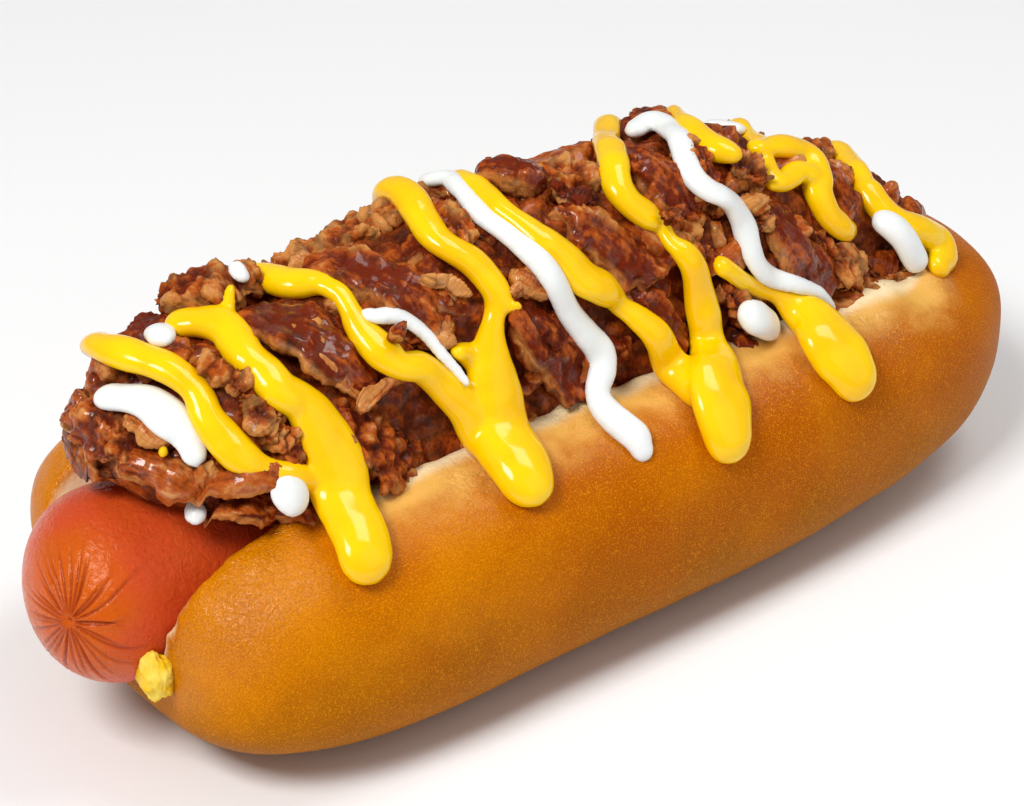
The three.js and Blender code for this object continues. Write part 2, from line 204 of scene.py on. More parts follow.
@dataclass(frozen=True)
class RollShape:
    """The roll's outside before it is split, in millimetres round the roll's middle."""

    width: float = 68.0
    height: float = 39.0
    section_power: float = 3.0
    taper: float = 0.04
    flattening: float = 0.5
    near: RollEnd = RollEnd(75.0, 18.0, 5.0, 4.1, 4.9)
    far: RollEnd = RollEnd(81.5, 28.0, 3.3, 3.45, 2.2)

    def section(self, x: Array) -> tuple[Array, Array, Array]:
        """The roll's section at each x.

        Args:
            x: Places along the roll.

        Returns:
            Half the width, the height of the underside and the height of the top.
        """
        near_parts = self._section_of(self.near, x)
        far_parts = self._section_of(self.far, x)
        return tuple(np.where(x < 0, a, b) for a, b in zip(near_parts, far_parts))

    def _section_of(self, end: RollEnd, x: Array) -> tuple[Array, Array, Array]:
        """The section as one end's numbers give it.

        Args:
            end: The end whose numbers are used.
            x: Places along the roll.

        Returns:
            Half the width, the height of the underside and the height of the top.
        """
        share = np.abs(x) / end.reach
        taper = 1 - self.taper * x / self.near.reach
        half_width = self.width / 2 * rounded(share, end.plan_power) * taper
        under = end.tip_height * (1 - rounded(share, end.under_power))
        drop = (self.height - end.tip_height) * (1 - rounded(share, end.top_power))
        return half_width, under, self.height - drop

    def contains(self, x: Array, y: Array, z: Array) -> Array:
        """Whether each point lies in the roll before it is split."""
        half_width, under, top = self.section(x)
        side = np.abs(y) / np.maximum(1e-3, half_width)
        level = np.abs(2 * z - top - under) / np.maximum(1e-3, top - under)
        return side**self.section_power + level**self.section_power < 1


@dataclass(frozen=True)
class HeapShape:
    """The smooth mound that the pieces of meat lie on."""

    near_x: float = -76.0
    far_x: float = 74.0
    half_width: float = 18.5
    base: float = 32.0
    depth: float = 7.0
    near_lift: float = 14.0
    near_thinning: float = 4.5
    lift_start_x: float = -44.0
    lift_length: float = 30.0
    draw_back: float = 3.2
    draw_back_start_x: float = -60.0
    power: float = 2.2
    crest: tuple[Station, ...] = (
        (-76, 47),
        (-73, 51.2),
        (-69, 55.4),
        (-60, 59.8),
        (-38, 61),
        (-22, 64.5),
        (-8, 64.5),
        (4, 62.5),
        (26, 63.5),
        (34, 62),
        (42, 56.5),
        (54, 51),
        (64, 46),
        (74, 36),
    )

    def section(self, x: Array) -> tuple[Array, Array, Array, Array, Array]:
        """The mound's section at each x.

        Args:
            x: Places along the roll.

        Returns:
            Half the width, the level where it is widest, the crest's height, the depth below, and how
            far the middle lies to the back.
        """
        near_share = np.maximum(0, -10 - x) / (-10 - self.near_x)
        far_share = np.maximum(0, x) / self.far_x
        lift = np.clip((self.lift_start_x - x) / self.lift_length, 0, 1)
        stations = np.array(self.crest)
        half_width = self.half_width * rounded(near_share, 4) * rounded(far_share, 3)
        eased = eased_step(-self.draw_back_start_x, -self.near_x, -x)
        drawn_back = np.minimum(self.draw_back * eased, half_width / 3)
        return (
            half_width - drawn_back,
            self.base + self.near_lift * lift,
            np.interp(x, stations[:, 0], stations[:, 1]),
            self.depth - self.near_thinning * lift,
            drawn_back,
        )

    def contains(self, x: Array, y: Array, z: Array) -> Array:
        """Whether each point lies in the mound."""
        half_width, base, crest, depth, drawn_back = self.section(x)
        side = np.abs(y - drawn_back) / np.maximum(1e-3, half_width)
        reach = np.where(z > base, crest - base, depth)
        level = np.abs(z - base) / np.maximum(1e-3, reach)
        return side**self.power + level**self.power < 1


ROLL = RollShape()
HEAP = HeapShape()
SAUCE_AXIS_HEIGHT = 20.0
FRANK_AXIS_HEIGHT = 24.9
LOWEST_REACH = 20.0


def laid_points(x: Array, degrees: Array) -> Array:
    """Points on the mound or the roll, whichever stands further from the sauce axis.

    Args:
        x: Places along the roll.
        degrees: Angles round the sauce axis from straight up, minus to the front.

    Returns:
        One point for each place.
    """
    x, degrees = np.broadcast_arrays(np.asarray(x, float), np.asarray(degrees, float))
    angle = np.radians(degrees)
    sweep = np.arange(60.0, 5.0, -0.25)
    shape = (*x.shape, len(sweep))
    y = sweep * np.sin(angle)[..., None]
    z = SAUCE_AXIS_HEIGHT + sweep * np.cos(angle)[..., None]
    along = np.broadcast_to(x[..., None], shape)
    inside = HEAP.contains(along, y, z) | ROLL.contains(along, y, z)
    reach = np.where(inside.any(axis=-1), sweep[np.argmax(inside, axis=-1)], LOWEST_REACH)
    return np.stack([x, reach * np.sin(angle), SAUCE_AXIS_HEIGHT + reach * np.cos(angle)], axis=-1)


def outward(points: Array) -> Array:
    """The direction from the sauce axis to each point, across the roll."""
    away = points * np.array([0, 1, 1]) - np.array([0, 0, SAUCE_AXIS_HEIGHT])
    return away / np.linalg.norm(away, axis=-1, keepdims=True)


# Meshes from arrays.


@dataclass
class Body:
    """A mesh being made: its points in millimetres, its faces and the values that its finish reads."""

    points: Array
    faces: Array
    values: dict[str, Array]

    @staticmethod
    def joined(bodies: list["Body"]) -> "Body":
        """Several bodies as one, with their values kept."""
        starts = np.cumsum([0] + [len(body.points) for body in bodies[:-1]])
        names = bodies[0].values
        return Body(
            np.concatenate([body.points for body in bodies]),
            np.concatenate([body.faces + start for body, start in zip(bodies, starts)]),
            {name: np.concatenate([body.values[name] for body in bodies]) for name in names},
        )


def to_frame(points: Array) -> Array:
    """Sets points worked out round the roll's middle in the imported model's frame, in metres."""
    low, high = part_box("bun")
    shift = np.array([low.x + ROLL.near.reach * MILLIMETRE, (low.y + high.y) / 2, low.z])
    shift[2] -= ROLL.flattening * MILLIMETRE
    return points * MILLIMETRE + shift


def from_frame(points: Array) -> Array:
    """The other way from to_frame."""
    return (points - to_frame(np.zeros(3))) / MILLIMETRE


def ring_points(x: Array, y: Array, z: Array) -> Array:
    """The points of a grid, row after row, where each row of y and z stands at one x."""
    return np.stack([np.broadcast_to(x[:, None], y.shape), y, z], axis=-1).reshape(-1, 3)


def ball_faces(rows: int, around: int) -> Array:
    """The faces of a closed grid with a pole at each end, as corners of four-sided faces.

    Args:
        rows: How many rings of points lie between the poles.
        around: How many points each ring has.

    Returns:
        Four corners a face. A face at a pole repeats its last corner.
    """
    ring = np.arange(rows * around).reshape(rows, around) + 1
    turned = np.roll(ring, -1, axis=1)
    body = np.stack([ring[:-1], turned[:-1], turned[1:], ring[1:]], axis=-1).reshape(-1, 4)
    last = rows * around + 1
    first_cap = np.stack([turned[0], ring[0], ring[0] * 0, ring[0] * 0], axis=-1)
    last_cap = np.stack([ring[-1], turned[-1], ring[-1] * 0 + last, ring[-1] * 0 + last], axis=-1)
    return np.concatenate([first_cap, body, last_cap])


def build_object(name: str, body: Body) -> bpy.types.Object:
    """Makes a Blender object of a body, shaded smooth and set in the frame.

    Args:
        name: The object's name.
        body: Its points, faces and values.

    Returns:
        The object, linked to the scene.
    """
    mesh = bpy.data.meshes.new(name)
    pole = body.faces[:, 3] == body.faces[:, 2]
    sizes = np.where(pole, 3, 4)
    keep = np.ones(body.faces.shape, bool)
    keep[:, 3] = ~pole
    mesh.vertices.add(len(body.points))
    mesh.vertices.foreach_set("co", to_frame(body.points).astype(np.float32).ravel())
    mesh.loops.add(int(sizes.sum()))
    mesh.loops.foreach_set("vertex_index", body.faces[keep].astype(np.int32))
    mesh.polygons.add(len(body.faces))
    starts = np.concatenate([[0], np.cumsum(sizes)[:-1]]).astype(np.int32)
    mesh.polygons.foreach_set("loop_start", starts)
    mesh.polygons.foreach_set("loop_total", sizes.astype(np.int32))
    mesh.update(calc_edges=True)
    set_values(mesh, body.values)
    mesh.shade_smooth()
    made = bpy.data.objects.new(name, mesh)
    bpy.context.scene.collection.objects.link(made)
    return made


def set_values(mesh: bpy.types.Mesh, values: dict[str, Array]) -> None:
    """Writes named values on to a mesh's points, for its finish to read."""
    for name, value in values.items():
        if value.ndim == 1:
            attribute = mesh.attributes.new(name, "FLOAT", "POINT")
            attribute.data.foreach_set("value", value.astype(np.float32))
        else:
            attribute = mesh.attributes.new(name, "FLOAT_VECTOR", "POINT")
            attribute.data.foreach_set("vector", value.astype(np.float32).ravel())


def mesh_points(mesh: bpy.types.Mesh) -> Array:
    """A mesh's points in millimetres round the roll's middle."""
    places = np.zeros(len(mesh.vertices) * 3, np.float32)
    mesh.vertices.foreach_get("co", places)
    return from_frame(places.reshape(-1, 3).astype(float))


def mesh_normals(mesh: bpy.types.Mesh) -> Array:
    """A mesh's normals at its points."""
    normals = np.zeros(len(mesh.vertices) * 3, np.float32)
    mesh.vertex_normals.foreach_get("vector", normals)
    return normals.reshape(-1, 3).astype(float)


def move_points(mesh: bpy.types.Mesh, points: Array) -> None:
    """Moves a mesh's points to places in millimetres round the roll's middle."""
    mesh.vertices.foreach_set("co", to_frame(points).astype(np.float32).ravel())
    mesh.update()


def melt(made: bpy.types.Object, voxel: float, smoothing: int) -> None:
    """Runs an object's overlapping bodies into one skin and softens it.

    Args:
        made: The object, whose mesh is replaced.
        voxel: The skin's pitch in millimetres.
        smoothing: How many rounds of smoothing follow.
    """
    remesh = made.modifiers.new("melt", "REMESH")
    remesh.mode = "VOXEL"
    remesh.voxel_size = voxel * MILLIMETRE
    remesh.use_smooth_shade = True
    soften = made.modifiers.new("soften", "SMOOTH")
    soften.factor = 0.5
    soften.iterations = smoothing
    apply_modifiers(made)


def apply_modifiers(made: bpy.types.Object) -> None:
    """Makes an object's modified mesh its own."""
    depsgraph = bpy.context.evaluated_depsgraph_get()
    depsgraph.update()
    finished = bpy.data.meshes.new_from_object(made.evaluated_get(depsgraph))
    made.modifiers.clear()
    made.data = finished
    finished.shade_smooth()


def place_piece(made: bpy.types.Object, finish: bpy.types.Material, slot: str, *nodes: str) -> None:
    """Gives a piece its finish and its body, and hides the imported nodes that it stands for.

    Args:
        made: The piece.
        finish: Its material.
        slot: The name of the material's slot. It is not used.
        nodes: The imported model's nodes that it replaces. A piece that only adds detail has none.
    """
    made.data.materials.clear()
    made.data.materials.append(finish)
    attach(made, "root")
    if nodes:
        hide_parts(*nodes)
    LOG.info("%s: %d faces", made.name, len(made.data.polygons))


# Finishes.


class NodeMaker:
    """Adds shader nodes to a tree and joins them up with short calls."""

    def __init__(self, tree: bpy.types.NodeTree) -> None:
        """Starts on a tree with nothing in it."""
        self.tree = tree
        tree.nodes.clear()

    def add(self, kind: str, settings: dict | None = None, **sockets: object) -> bpy.types.Node:
        """Adds one node.

        Args:
            kind: The node's type name.
            settings: Its own settings.
            sockets: Its inputs by name, with spaces as underscores, each a value or an output.

        Returns:
            The node.
        """
        node = self.tree.nodes.new(kind)
        for name, value in (settings or {}).items():
            setattr(node, name, value)
        for name, value in sockets.items():
            self.feed(node.inputs[name.replace("_", " ")], value)
        return node

    def feed(self, socket: bpy.types.NodeSocket, value: object) -> None:
        """Sets an input to a value, or joins an output to it."""
        if isinstance(value, bpy.types.NodeSocket):
            self.tree.links.new(value, socket)
        elif isinstance(value, tuple) and len(value) == 3 and socket.type == "RGBA":
            socket.default_value = (*value, 1.0)
        else:
            socket.default_value = value

    def attribute(self, name: str, output: str = "Fac") -> bpy.types.NodeSocket:
        """A value that was written on the mesh."""
        node = self.add("ShaderNodeAttribute", {"attribute_name": name})
        return node.outputs[output]

    def noise(
        self,
        scale: float,
        detail: float = 3.0,
        vector: object = None,
        roughness: float = 0.55,
        distortion: float = 0.0,
    ) -> bpy.types.NodeSocket:
        """Fractal noise from 0 to 1.

        Args:
            scale: How many lumps there are in a metre.
            detail: How many finer layers are added.
            vector: Where it is read, which is the place on the object if nothing is given.
            roughness: How strong the finer layers are.
            distortion: How much the lumps are swirled.

        Returns:
            The noise.
        """
        node = self.add(
            "ShaderNodeTexNoise",
            Scale=scale,
            Detail=detail,
            Roughness=roughness,
            Distortion=distortion,
            Vector=vector if vector is not None else self.place(),
        )
        return node.outputs["Fac"]

    def place(self) -> bpy.types.NodeSocket:
        """The place on the object, in metres."""
        return self.add("ShaderNodeTexCoord").outputs["Object"]

    def ramp(
        self, value: object, lows: tuple[float, float], highs: tuple[float, float]
    ) -> bpy.types.NodeSocket:
        """Turns a value into another that eases between two levels and is held outside them.

        Args:
            value: The value to read.
            lows: Where the change starts and the level before it.
            highs: Where the change ends and the level after it.

        Returns:
            The new value.
        """
        node = self.add(
            "ShaderNodeMapRange",
            {"clamp": True, "interpolation_type": "SMOOTHSTEP"},
            Value=value,
            From_Min=lows[0],
            From_Max=highs[0],
            To_Min=lows[1],
            To_Max=highs[1],
        )
        return node.outputs["Result"]

    def maths(self, operation: str, first: object, second: object) -> bpy.types.NodeSocket:
        """One sum of two values."""
        node = self.tree.nodes.new("ShaderNodeMath")
        node.operation = operation
        self.feed(node.inputs[0], first)
        self.feed(node.inputs[1], second)
        return node.outputs[0]

    def mix(self, share: object, first: object, second: object) -> bpy.types.NodeSocket:
        """Mixes two colours by a share."""
        node = self.tree.nodes.new("ShaderNodeMix")
        node.data_type = "RGBA"
        self.feed(node.inputs["Factor"], share)
        self.feed(node.inputs[6], first)
        self.feed(node.inputs[7], second)
        return node.outputs[2]

    def bump(
        self, height: object, distance: float, strength: object, normal: object = None
    ) -> bpy.types.NodeSocket:
        """A normal from a height.

        Args:
            height: The height from 0 to 1.
            distance: The height's full step in millimetres.
            strength: How much of the bump shows.
            normal: The normal that it is added to, where there is one.

        Returns:
            The normal.
        """
        sockets = {"Height": height, "Distance": distance * MILLIMETRE, "Strength": strength}
        if normal is not None:
            sockets["Normal"] = normal
        return self.add("ShaderNodeBump", **sockets).outputs["Normal"]

    def surface(self, settings: dict[str, object]) -> None:
        """Ends a material with its Principled shader, whose inputs are given by their own names."""
        shader = self.tree.nodes.new("ShaderNodeBsdfPrincipled")
        for name, value in settings.items():
            self.feed(shader.inputs[name], value)
        output = self.tree.nodes.new("ShaderNodeOutputMaterial")
        self.tree.links.new(shader.outputs["BSDF"], output.inputs["Surface"])


def new_material(name: str) -> tuple[bpy.types.Material, NodeMaker]:
    """A fresh material and the maker for its nodes."""
    material = bpy.data.materials.new(name)
    material.use_nodes = True
    return material, NodeMaker(material.node_tree)


@dataclass(frozen=True)
class CrustFinish:
    """The roll's oven-browned crust, paler and wrinkled by the split, crumb where cut, with painted light
    and shade.
    """

    golden: Colour = (0.43, 0.088, 0.0)
    yellow: Colour = (0.64, 0.195, 0.0)
    deep: Colour = (0.31, 0.098, 0.0)
    glint: Colour = (0.78, 0.30, 0.004)
    pale: Colour = (0.77, 0.41, 0.085)
    cream: Colour = (0.91, 0.72, 0.43)

    def material(self) -> bpy.types.Material:
        """Builds the crust's material."""
        made, nodes = new_material("baked crust")
        cloud = nodes.ramp(nodes.noise(55, 3), (0.3, -0.3), (0.7, 0.3))
        # Painted light: the share of the brighter yellow rises at the near end and along the top of the far
        # half, where the lights fall.
        cloud = nodes.maths("ADD", cloud, nodes.attribute("painted_light"))
        colour = nodes.mix(nodes.ramp(cloud, (0.0, 0.0), (1.0, 1.0)), self.golden, self.yellow)
        # Painted shade: the crust is darkened towards the deep colour low on the roll and towards the far
        # end; the browning noise on it is the crust's own.
        browning = nodes.ramp(nodes.noise(80, 3), (0.3, -0.15), (0.7, 0.15))
        baked_and_shaded = nodes.maths("ADD", nodes.attribute("baked_and_shaded"), browning)
        colour = nodes.mix(nodes.ramp(baked_and_shaded, (0.0, 0.0), (1.0, 1.0)), colour, self.deep)
        # Fine grain: dark specks of the crust's own grain, and pale specks in the glint colour that stand in
        # for sparkle, a painted highlight.
        grain = nodes.noise(4600, 1)
        colour = nodes.mix(nodes.ramp(grain, (0.3, 0.4), (0.5, 0.0)), colour, self.deep)
        colour = nodes.mix(nodes.ramp(grain, (0.5, 0.0), (0.7, 0.6)), colour, self.glint)
        soft = nodes.attribute("soft")
        mottle = nodes.ramp(nodes.noise(240, 4), (0.3, -0.15), (0.7, 0.15))
        uneven = nodes.maths("MULTIPLY", mottle, nodes.ramp(soft, (0.02, 0.0), (0.3, 1.0)))
        faded = nodes.maths("ADD", soft, uneven)
        colour = nodes.mix(nodes.ramp(faded, (0.0, 0.0), (1.0, 1.0)), colour, self.pale)
        lip = nodes.attribute("lip")
        edge = nodes.maths("ADD", lip, nodes.maths("MULTIPLY", mottle, lip))
        colour = nodes.mix(nodes.ramp(edge, (0.0, 0.0), (0.9, 1.0)), colour, self.cream)
        colour = nodes.mix(nodes.attribute("cut"), colour, self.cream)
        fine = nodes.bump(grain, 0.12, 0.6)
        gentle = nodes.bump(nodes.noise(230, 3), 0.2, 0.25, fine)
        shoulder = nodes.attribute("shoulder")
        wrinkled = nodes.bump(nodes.noise(900, 3, distortion=1.2), 0.5, shoulder, gentle)
        dry = nodes.maths("MULTIPLY", nodes.attribute("cut"), 0.3)
        rough = nodes.maths("ADD", nodes.ramp(shoulder, (0.1, 0.5), (0.9, 0.27)), dry)
        nodes.surface(
            {
                "Base Color": colour,
                "Roughness": rough,
                "Specular IOR Level": 0.06,
                "Specular Tint": (1.0, 0.66, 0.3),
                "Normal": wrinkled,
                "Coat Weight": nodes.maths("MULTIPLY", shoulder, 0.6),
                "Coat Roughness": 0.14,
                "Coat Normal": wrinkled,
                "Subsurface Weight": 0.06,
                "Subsurface Radius": (1.0, 0.5, 0.2),
                "Subsurface Scale": 0.0015,
            }
        )
        return made


@dataclass(frozen=True)
class CrumbFinish:
    """The roll's moist yellow crumb where it was torn."""

    yellow: Colour = (0.84, 0.52, 0.0)
    cream: Colour = (0.88, 0.66, 0.10)

    def material(self) -> bpy.types.Material:
        """Builds the crumb's material."""
        made, nodes = new_material("torn crumb")
        cells = nodes.noise(700, 4)
        colour = nodes.mix(nodes.ramp(nodes.noise(280, 3), (0.35, 0.0), (0.6, 1.0)), self.yellow, self.cream)
        nodes.surface(
            {
                "Base Color": colour,
                "Roughness": nodes.ramp(cells, (0.3, 0.45), (0.7, 0.8)),
                "Specular IOR Level": 0.2,
                "Normal": nodes.bump(cells, 0.5, 0.6),
                "Subsurface Weight": 0.15,
                "Subsurface Radius": (1.0, 0.6, 0.2),
                "Subsurface Scale": 0.0015,
            }
        )
        return made


@dataclass(frozen=True)
class SkinFinish:
    """The frankfurter's moist skin, with painted shade in the folds round its tip."""

    coral: Colour = (0.65, 0.075, 0.016)
    orange: Colour = (0.60, 0.10, 0.003)
    crease_shade: Colour = (0.25, 0.018, 0.004)

    def material(self) -> bpy.types.Material:
        """Builds the skin's material."""
        made, nodes = new_material("frankfurter skin")
        cloud = nodes.noise(110, 4)
        tip = nodes.maths("ADD", nodes.attribute("tip"), nodes.ramp(cloud, (0.3, -0.3), (0.7, 0.3)))
        colour = nodes.mix(nodes.ramp(tip, (0.0, 0.0), (1.0, 1.0)), self.coral, self.orange)
        # Painted shade: the folds round the tip are darkened where shade falls in them.
        colour = nodes.mix(nodes.attribute("crease_shade"), colour, self.crease_shade)
        pores = nodes.ramp(nodes.noise(1700, 2), (0.3, 0.12), (0.6, 0.0))
        colour = nodes.mix(pores, colour, self.crease_shade)
        fine = nodes.bump(nodes.noise(900, 3), 0.05, 0.5)
        patch = nodes.ramp(nodes.noise(75, 2), (0.38, 0.0), (0.52, 1.0))
        soft = nodes.bump(nodes.noise(230, 3, distortion=0.6), 0.25, 0.4, fine)
        soft = nodes.bump(nodes.noise(800, 3, distortion=1.0), 0.26, patch, soft)
        rough = nodes.ramp(nodes.noise(300, 3), (0.3, 0.2), (0.7, 0.34))
        nodes.surface(
            {
                "Base Color": colour,
                "Roughness": rough,
                "Normal": soft,
                "Subsurface Weight": 0.15,
                "Subsurface Radius": (1.0, 0.25, 0.08),
                "Subsurface Scale": 0.003,
                "Specular IOR Level": 0.26,
                "Specular Tint": (1.0, 0.7, 0.55),
            }
        )
        return made


@dataclass(frozen=True)
class MeatFinish:
    """Fried chopped beef: dark red fibres, tan edges, charred spots, painted shade in the creases, and fat
    that shines.
    """

    dark: Colour = (0.15, 0.013, 0.001)
    brown: Colour = (0.41, 0.076, 0.006)
    tan: Colour = (0.60, 0.25, 0.065)
    char_and_shade: Colour = (0.025, 0.006, 0.004)

    def material(self) -> bpy.types.Material:
        """Builds the meat's material."""
        made, nodes = new_material("fried beef")
        fibre = nodes.attribute("fibre", "Vector")
        moist = nodes.attribute("moist")
        strand = nodes.noise(1.0, 5, fibre, 0.65)
        speck = nodes.noise(1100, 5)
        # The tone on the pieces partly follows their relief, lighter on raised skin and darker in hollows,
        # as painted light and shade.
        tone = nodes.maths("ADD", nodes.attribute("tone"), nodes.ramp(strand, (0.3, -0.25), (0.7, 0.25)))
        tone = nodes.maths("ADD", tone, nodes.ramp(speck, (0.35, -0.12), (0.7, 0.16)))
        low = nodes.mix(nodes.ramp(tone, (0.0, 0.0), (0.55, 1.0)), self.dark, self.brown)
        colour = nodes.mix(nodes.ramp(tone, (0.5, 0.0), (1.1, 1.0)), low, self.tan)
        colour = nodes.mix(nodes.attribute("edge"), colour, self.tan)
        burnt = nodes.ramp(nodes.noise(150, 3), (0.60, 0.0), (0.72, 0.75))
        # Painted shade: the creases are darkened with the same near-black as the charred spots.
        colour = nodes.mix(nodes.maths("MAXIMUM", burnt, nodes.attribute("crease_shade")), colour, self.char_and_shade)
        strands = nodes.bump(strand, 0.45, 0.9)
        grains = nodes.bump(speck, 0.3, 0.9, strands)
        wet = nodes.ramp(nodes.noise(420, 4), (0.44, 0.0), (0.56, 1.0))
        wet = nodes.maths("MULTIPLY", wet, moist)
        nodes.surface(
            {
                "Base Color": colour,
                "Roughness": nodes.ramp(wet, (0.0, 0.6), (1.0, 0.16)),
                "Specular IOR Level": 0.2,
                "Specular Tint": (1.0, 0.7, 0.5),
                "Normal": grains,
                "Subsurface Weight": 0.06,
                "Subsurface Radius": (1.0, 0.25, 0.1),
                "Subsurface Scale": 0.0015,
                "Coat Weight": nodes.maths("MULTIPLY", wet, 0.8),
                "Coat Roughness": 0.12,
            }
        )
        return made


@dataclass(frozen=True)
class SauceFinish:
    """A smooth sauce with a skin of shine."""

    name: str
    colour: Colour
    thick: Colour
    roughness: float
    depth: float

    def material(self) -> bpy.types.Material:
        """Builds the sauce's material."""
        made, nodes = new_material(self.name)
        swirl = nodes.noise(140, 2)
        colour = nodes.mix(nodes.ramp(swirl, (0.35, 0.0), (0.65, 1.0)), self.colour, self.thick)
        ripple = nodes.bump(nodes.noise(220, 2), 0.3, 0.3)
        nodes.surface(
            {
                "Base Color": colour,
                "Roughness": self.roughness,
                "Specular IOR Level": 0.3,
                "Normal": ripple,
                "Subsurface Weight": self.depth,
                "Subsurface Radius": (1.0, 0.7, 0.25),
                "Subsurface Scale": 0.0015,
                "Coat Weight": 0.1,
                "Coat Roughness": 0.06,
            }
        )
        return made


MUSTARD = SauceFinish("mustard", (0.99, 0.61, 0.0), (0.96, 0.53, 0.0), 0.13, 0.08)
MAYONNAISE = SauceFinish("mayonnaise", (0.85, 0.87, 0.86), (0.80, 0.82, 0.80), 0.3, 0.15)


# The pieces.


@dataclass
class Bun:
    """The split roll."""

    mouth_half_width: float = 18.0
    lip_power: float = 2.4
    near_lip_power: float = 0.45
    opening_x: float = -50.0
    far_x: float = 66.0
    closing: float = 13.0
    channel_radius: float = 13.8
    cut_past: float = 25.0
    cut_over: float = 6.0
    voxel: float = 0.9
    smoothing: int = 9
    torn_centre: tuple[float, float, float] = (-76.0, -13.6, 18.4)
    torn_reach: tuple[float, float, float] = (2.2, 3.2, 3.6)

    def whole_body(self) -> Body:
        """The roll before it is split."""
        rows, around = 180, 200
        share = np.linspace(0, 1, rows + 2)[1:-1]
        along = -np.cos(math.pi * share)
        x = np.where(along < 0, ROLL.near.reach, ROLL.far.reach) * along
        half_width, under, top = ROLL.section(x)
        angle = np.linspace(0, 2 * math.pi, around, endpoint=False)
        y = half_width[:, None] * squared(np.cos(angle), ROLL.section_power)
        middle = ((top + under) / 2)[:, None]
        half_height = ((top - under) / 2)[:, None]
        z = middle + half_height * squared(np.sin(angle), ROLL.section_power)
        z = np.maximum(z, ROLL.flattening)
        ring = ring_points(x, y, z)
        near_pole = [-ROLL.near.reach, 0, ROLL.near.tip_height]
        far_pole = [ROLL.far.reach, 0, ROLL.far.tip_height]
        poles = np.array([near_pole, far_pole])
        return Body(np.concatenate([poles[:1], ring, poles[1:]]), ball_faces(rows, around), {})

    def split_body(self) -> Body:
        """What the split takes out."""
        rows, half = 120, 40
        near_x = -ROLL.near.reach - self.cut_past
        closing_x = self.far_x - self.closing
        step = np.linspace(0, 1, rows)
        open_share = 0.75
        before = np.clip(step / open_share, 0, 1)
        closing = np.clip((step - open_share) / (1 - open_share), 0, 1) * 0.98
        x = near_x + (closing_x - near_x) * before + self.closing * np.sin(math.pi / 2 * closing)
        keep = np.cos(math.pi / 2 * closing)[:, None]
        turn = np.linspace(-math.pi / 2, 0, half, endpoint=False)
        rise = np.linspace(0, ROLL.height + self.cut_over - FRANK_AXIS_HEIGHT, half)
        lip = self.lip_half_width(x[:, None], rise)
        under = np.broadcast_to(self.channel_radius * np.cos(turn), (rows, half))
        right = np.concatenate([under, lip], axis=1) * keep
        level = np.broadcast_to(np.concatenate([self.channel_radius * np.sin(turn), rise]), right.shape)
        level = np.where(level < 0, level * keep, level)
        y = np.concatenate([right, -right[:, :0:-1]], axis=1)
        z = np.concatenate([level, level[:, :0:-1]], axis=1) + FRANK_AXIS_HEIGHT
        ring = ring_points(x, y, z)
        poles = np.array([[near_x, 0, FRANK_AXIS_HEIGHT + 2], [self.far_x + 0.1, 0, FRANK_AXIS_HEIGHT + 2]])
        return Body(np.concatenate([poles[:1], ring, poles[1:]]), ball_faces(rows, y.shape[1]), {})

    def lip_half_width(self, x: Array, rise: Array) -> Array:
        """Half the split's width over the channel.

        Args:
            x: Places along the roll.
            rise: Heights over the frankfurter's axis.

        Returns:
            Half the width at each place and height, wider sooner where the near end is open.
        """
        opening = eased_step(0, self.opening_x + ROLL.near.reach, self.opening_x - x)
        power = self.lip_power + (self.near_lip_power - self.lip_power) * opening
        flare = (rise / (ROLL.height - FRANK_AXIS_HEIGHT)) ** power
        return self.channel_radius + (self.mouth_half_width - self.channel_radius) * flare

    def build(self) -> bpy.types.Object:
        """Cuts the split, softens its edges, dents the crust and writes what its finish reads."""
        made = build_object("bun", self.whole_body())
        tool = build_object("split", self.split_body())
        cut = made.modifiers.new("split", "BOOLEAN")
        cut.operation = "DIFFERENCE"
        cut.object = tool
        cut.solver = "EXACT"
        apply_modifiers(made)
        bpy.data.objects.remove(tool)
        melt(made, self.voxel, self.smoothing)
        mesh = made.data
        points = mesh_points(mesh)
        normals = mesh_normals(mesh)
        x, y, z = points.T
        rim = self.rim_distance(points)
        outside = eased_step(-0.6, 0.8, self.outside_depth(points))
        along = np.stack([x, x * 0, x * 0], axis=1)
        opened = eased_step(-56, -44, x)
        spread = 4.0 + 2.0 * smooth_noise(along, 13.0, 6)
        lip = (1 - eased_step(0.0, 1.0, rim / spread)) * outside * opened
        reach = 13.5 + 3.5 * smooth_noise(along, 17.0, 16)
        unevenly = 1.0 + 0.35 * smooth_noise(points, 8.0, 5)
        soft = (1 - eased_step(0.0, 1.0, rim / reach)) * outside * opened * unevenly
        patches = eased_step(-0.5, 0.5, smooth_noise(points, 13.0, 7))
        shoulder = (1 - eased_step(8.0, 17.0, rim)) * outside * (0.25 + 0.75 * patches)
        uneven = layered_noise(points, 26.0, 2, 3) * 0.5
        dents = layered_noise(points, 4.5, 2, 8) * 0.25 * (1 - eased_step(3, 12, rim))
        lobes = eased_step(0.0, 0.6, np.abs(smooth_noise(along, 14.0, 9))) - 0.5
        swell = 1.1 * lobes * (1 - eased_step(1, 11, rim)) * opened
        resting = eased_step(1.0, 5.0, z)
        move_points(mesh, points + normals * ((uneven + dents + swell) * resting * outside)[:, None])
        # Painted light: the crust is made brighter and yellower towards the near end and along the top of
        # the far half.
        lit_near_end = 0.75 * (1 - eased_step(-66, -20, x))
        lit_top = 0.3 * eased_step(36, 41, z) * eased_step(0, 60, x)
        set_values(
            mesh,
            {
                "lip": np.clip(lip, 0, 1.2),
                "soft": np.clip(soft, 0, 1.2),
                "shoulder": np.clip(shoulder, 0, 1),
                "cut": 1 - outside,
                "painted_light": 0.15 + lit_near_end + lit_top,
                # Painted shade: darker low on the roll and towards the far end.
                "baked_and_shaded": (1 - eased_step(3.0, 32.0, z)) * 0.85 + 0.15 * eased_step(-20, 80, x),
            },
        )
        place_piece(made, CrustFinish().material(), "bun_crust", "bun")
        return made

